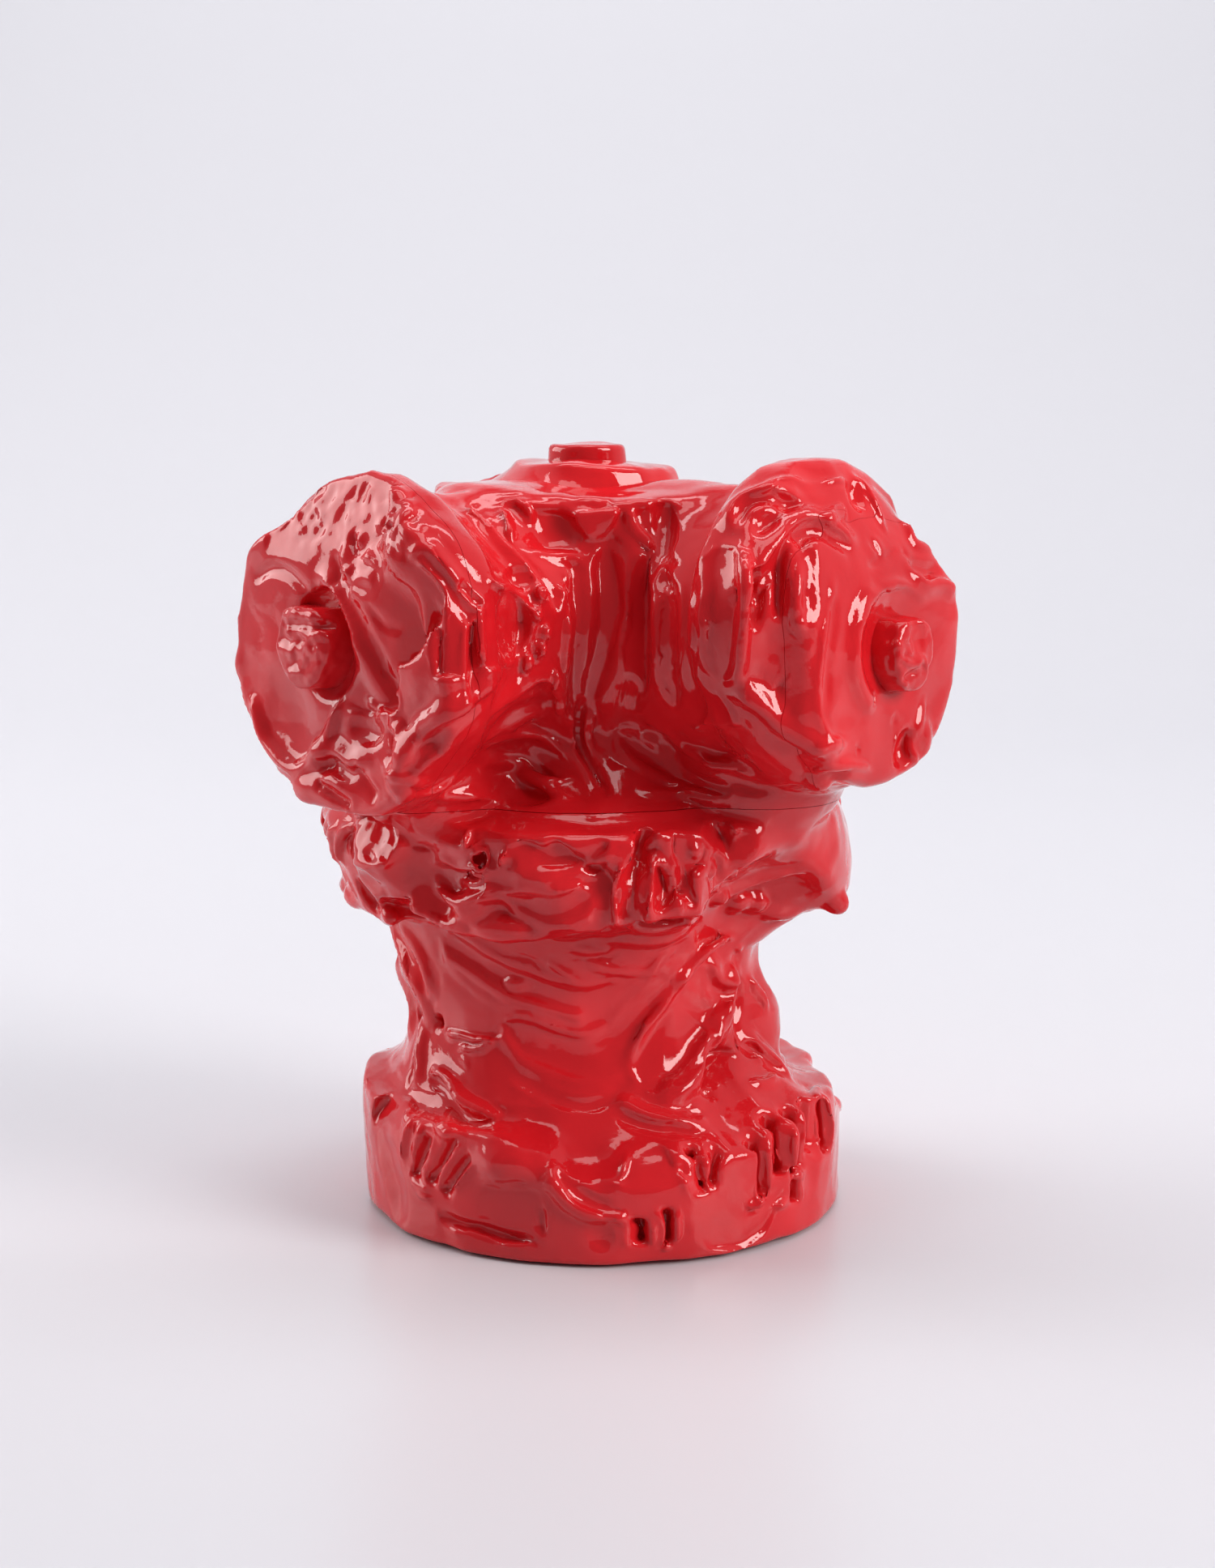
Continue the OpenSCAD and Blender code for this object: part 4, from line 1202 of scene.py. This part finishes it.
def add_node(tree, kind, **values):
    """A new node, with values for its inputs by name, or else for its settings."""
    node = tree.nodes.new(kind)
    for key, value in values.items():
        if key in node.inputs:
            node.inputs[key].default_value = value
        else:
            setattr(node, key, value)
    return node


class Finish:
    """A new material, with what its patterns share: the object's own coordinates and the shader."""

    def __init__(self, name, values):
        self.material = bpy.data.materials.new(name)
        self.material.use_nodes = True
        self.tree = self.material.node_tree
        self.link = self.tree.links.new
        self.shader = self.tree.nodes["Principled BSDF"].inputs
        self.place = add_node(self.tree, "ShaderNodeTexCoord").outputs["Object"]
        for key, value in values.items():
            self.shader[key].default_value = value

    def pattern(self, kind="ShaderNodeTexNoise", place=None, **values):
        """A texture laid over the object."""
        node = add_node(self.tree, kind, **values)
        self.link(place or self.place, node.inputs["Vector"])
        return node

    def colour(self, pattern, low, high, places=(0.0, 1.0)):
        """The base colour, from low to high with a pattern."""
        ramp = add_node(self.tree, "ShaderNodeValToRGB")
        for stop, place, rgb in zip(ramp.color_ramp.elements, places, (low, high)):
            stop.position = place
            stop.color = (*rgb, 1)
        self.link(pattern.outputs["Fac"], ramp.inputs["Fac"])
        self.link(ramp.outputs["Color"], self.shader["Base Color"])

    def bump(self, height, strength, distance, over=None):
        """The surface's small relief, laid over another bump if there is one."""
        node = add_node(self.tree, "ShaderNodeBump", Strength=strength, Distance=distance)
        self.link(height, node.inputs["Height"])
        if over:
            self.link(over, node.inputs["Normal"])
        self.link(node.outputs["Normal"], self.shader["Normal"])
        return node.outputs["Normal"]


def lacquer():
    """Thick red gloss lacquer over vinyl: ripples at two sizes and a slightly uneven colour."""
    finish = Finish("red_lacquer", {"Roughness": 0.32, "Specular IOR Level": 0.0, "Coat Weight": 1.0,
                                    "Coat Roughness": 0.025, "Coat IOR": 1.5})
    finish.colour(finish.pattern(Scale=22.0, Detail=3.0),
                  (0.58, 0.009, 0.014), (0.74, 0.015, 0.021), (0.35, 0.7))
    swell = finish.bump(finish.pattern(Scale=120.0, Detail=2.0).outputs["Fac"], 0.5, 0.0004)
    fine = finish.bump(finish.pattern(Scale=900.0, Detail=3.0).outputs["Fac"], 0.25, 0.0001, over=swell)
    finish.link(fine, finish.shader["Coat Normal"])
    return finish.material


def cloth():
    """Dark brown felt: a soft pile that catches light at its edges."""
    finish = Finish("brown_felt", {"Roughness": 0.95, "Sheen Weight": 0.4})
    finish.colour(finish.pattern(Scale=60.0, Detail=2.0), (0.020, 0.012, 0.009), (0.070, 0.045, 0.034))
    finish.bump(finish.pattern(Scale=1400.0, Detail=4.0).outputs["Fac"], 0.8, 0.0003)
    return finish.material


def moulded():
    """Black ABS with a fine spark-eroded texture."""
    finish = Finish("black_abs", {"Base Color": (0.013, 0.013, 0.015, 1)})
    rough = add_node(finish.tree, "ShaderNodeMapRange", **{"To Min": 0.42, "To Max": 0.62})
    finish.link(finish.pattern(Scale=40.0, Detail=3.0).outputs["Fac"], rough.inputs["Value"])
    finish.link(rough.outputs["Result"], finish.shader["Roughness"])
    finish.bump(finish.pattern("ShaderNodeTexVoronoi", Scale=900.0).outputs["Distance"], 0.3, 0.0001)
    return finish.material


def plated():
    """Zinc-plated steel with faint turning marks."""
    finish = Finish("zinc_steel", {"Metallic": 1.0, "Roughness": 0.34})
    finish.colour(finish.pattern(Scale=50.0, Detail=2.0), (0.42, 0.43, 0.45), (0.62, 0.62, 0.60))
    stretch = finish.pattern("ShaderNodeMapping", Scale=(900.0, 60.0, 60.0))
    marks = finish.pattern(place=stretch.outputs["Vector"], Scale=1.0, Detail=3.0)
    finish.bump(marks.outputs["Fac"], 0.25, 0.0001)
    return finish.material


# ---------------------------------------------------------------- pieces

def show(obj, body, node, material):
    """Puts a red piece on a body in the place of a CAD node."""
    obj.data.materials.append(material)
    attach(obj, body)
    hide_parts(node)


# ---------------------------------------------------------------- studio

def room():
    """The light that fills the room: pale behind and beside the figure, dim behind the camera."""
    world = bpy.data.worlds.new("room")
    bpy.context.scene.world = world
    world.use_nodes = True
    tree = world.node_tree
    link = tree.links.new
    place = add_node(tree, "ShaderNodeTexCoord")
    split = add_node(tree, "ShaderNodeSeparateXYZ")
    depth = add_node(tree, "ShaderNodeMapRange", interpolation_type="SMOOTHSTEP",
                     **{"From Min": -0.55, "From Max": 0.1, "To Min": 0.18, "To Max": 0.62})
    background = tree.nodes["Background"]
    background.inputs["Color"].default_value = (0.94, 0.94, 1.0, 1)
    link(place.outputs["Generated"], split.inputs["Vector"])
    link(split.outputs["Y"], depth.inputs["Value"])
    link(depth.outputs["Result"], background.inputs["Strength"])


def studio():
    """A pale sweep, four large soft lights, and the camera a little above the figure, looking down on it."""
    floor_end, bend_r, half_width, top_z = 1.2, 1.5, 2.2, 5.0
    profile = [(-1.3, 0.0), (floor_end, 0.0)]
    for a in np.linspace(0.1, math.pi / 2, 16):
        profile.append((floor_end + bend_r * math.sin(a), bend_r - bend_r * math.cos(a)))
    profile.append((floor_end + bend_r, top_z))
    verts = [(side * half_width, y, z) for y, z in profile for side in (-1, 1)]
    faces = [(2 * i, 2 * i + 1, 2 * i + 3, 2 * i + 2) for i in range(len(profile) - 1)]
    mesh = bpy.data.meshes.new("sweep")
    mesh.from_pydata(verts, [], faces)
    mesh.shade_smooth()
    sweep = bpy.data.objects.new("sweep", mesh)
    bpy.context.scene.collection.objects.link(sweep)
    paper = Finish("sweep_paper", {"Base Color": (0.66, 0.66, 0.69, 1), "Roughness": 0.3,
                                   "Specular IOR Level": 0.35})
    mesh.materials.append(paper.material)

    for name, place, look, size, power, colour in (
            ("window_left", (-2.1, 0.5, 1.05), (0, 0, 0.2), (1.5, 1.35), 27, (1, 0.96, 0.94)),
            ("window_right", (2.1, -1.2, 1.4), (0, 0, 0.2), (1.15, 1.25), 50, (1, 0.96, 0.94)),
            ("overhead", (0.1, -0.5, 2.3), (0, -0.1, 0), (1.3, 0.8), 9, (1, 0.97, 0.97)),
            ("backdrop_light", (0.0, 0.6, 2.7), (0, 2.6, 1.3), (3.0, 1.2), 55, (0.97, 0.97, 1))):
        light = bpy.data.lights.new(name, "AREA")
        light.shape = "RECTANGLE"
        light.size, light.size_y = size
        light.energy = power
        light.color = colour
        obj = bpy.data.objects.new(name, light)
        obj.location = place
        obj.rotation_euler = (Vector(look) - Vector(place)).to_track_quat("-Z", "Y").to_euler()
        bpy.context.scene.collection.objects.link(obj)
    room()

    camera = bpy.data.cameras.new("camera")
    camera.lens = 63.8
    camera.sensor_width = 36.0
    obj = bpy.data.objects.new("camera", camera)
    obj.location = (0.004, -1.0815, 0.3472)
    obj.rotation_euler = (math.radians(90 - 9.48), 0, 0)
    bpy.context.scene.collection.objects.link(obj)
    bpy.context.scene.camera = obj
    bpy.context.scene.view_settings.view_transform = "Standard"


# ---------------------------------------------------------------- the figure

UP, DOWN = np.array([0.0, 0.0, 1.0]), np.array([0.0, 0.0, -1.0])
FLOOR_Z = 1.0                            # the clay's underside, just inside the felt pad, mm
NECK_POCKET, CAP_POCKET = (45.5, 18), (28.5, 15.5)      # radius and depth of the joints' hollows, mm


def level(z, way):
    """The level plane at height z, as casting takes it."""
    return np.array([0.0, 0.0, z]), way


def across(outlet, way):
    """The plane that ends the head (way 1) or the cap (way -1) at an outlet's seam."""
    return outlet.out * (outlet.seam - GAP * way), outlet.out * way


red = lacquer()
clay = block_out()
work_over(clay, 3)
model_base(clay)
model_column(clay)
model_band(clay)
model_top_and_back(clay)
model_left_outlet(clay)
model_right_outlet(clay)
model_valley(clay)
roughen_patches(clay)
clay.f = np.maximum(clay.f, (FLOOR_Z - clay.axes[2]).astype(np.float32)[None, None, :])
clear_left_cap(clay)
open_pocket(clay, UP * SEAM_Z, UP, *NECK_POCKET)
for outlet in (LEFT, RIGHT):
    open_pocket(clay, outlet.at(0, 0, outlet.seam), outlet.out, *CAP_POCKET)
soften(clay)
points, quads = unsteady(*net(clay), 90)

PIECES = (
    ("figure_base", "stand", "base_shell", [level(COLUMN_CUT, UP)]),
    ("figure_column", "stand", "column_shell", [level(COLUMN_CUT, DOWN), level(BAND_CUT, UP)]),
    ("figure_band", "stand", "band_shell", [level(BAND_CUT, DOWN), level(SEAM_Z - GAP, UP)]),
    ("figure_head", "head", "head_shell", [level(SEAM_Z + GAP, DOWN), across(LEFT, 1), across(RIGHT, 1)]),
    ("figure_left_cap", "left_cap", "left_cap_shell", [across(LEFT, -1)]),
    ("figure_right_cap", "right_cap", "right_cap_shell", [across(RIGHT, -1)]),
)
for name, body, node, planes in PIECES:
    show(casting(name, points, quads, planes), body, node, red)
left_nut = block_out_nut(LEFT, centre=(-14, -1.2), half=(15, 16.5), start=116, end=134.0, seed=71)
right_nut = block_out_nut(RIGHT, centre=(8.5, -4), half=(12.5, 15), start=123, end=142, seed=73)
model_nuts(left_nut, right_nut)
Hand(left_nut, LEFT.face).roughen((-12, 0), 20, 0.5)
Hand(right_nut, RIGHT.face).roughen((8, -4), 20, 0.4)
show(make_object("left_nut", *net(left_nut)), "left_cap", "left_cap_nut", red)
show(make_object("right_nut", *net(right_nut)), "right_cap", "right_cap_nut", red)
cover, nut = block_out_crown()
show(make_object("crown_cover_skin", *net(cover)), "head", "crown_cover", red)
show(make_object("crown_nut_skin", *net(nut)), "head", "crown_nut", red)
felt, abs_plastic, steel = cloth(), moulded(), plated()
for node, material in (("felt_pad", felt), ("base_plate", abs_plastic), ("ballast_disc", steel),
                       ("ballast_screws", steel), ("neck_socket", abs_plastic), ("neck_plug", abs_plastic),
                       ("left_cap_socket", abs_plastic), ("left_cap_plug", abs_plastic),
                       ("right_cap_socket", abs_plastic), ("right_cap_plug", abs_plastic)):
    mesh = frame["nodes"][node].data
    mesh.materials.clear()
    mesh.materials.append(material)
studio()
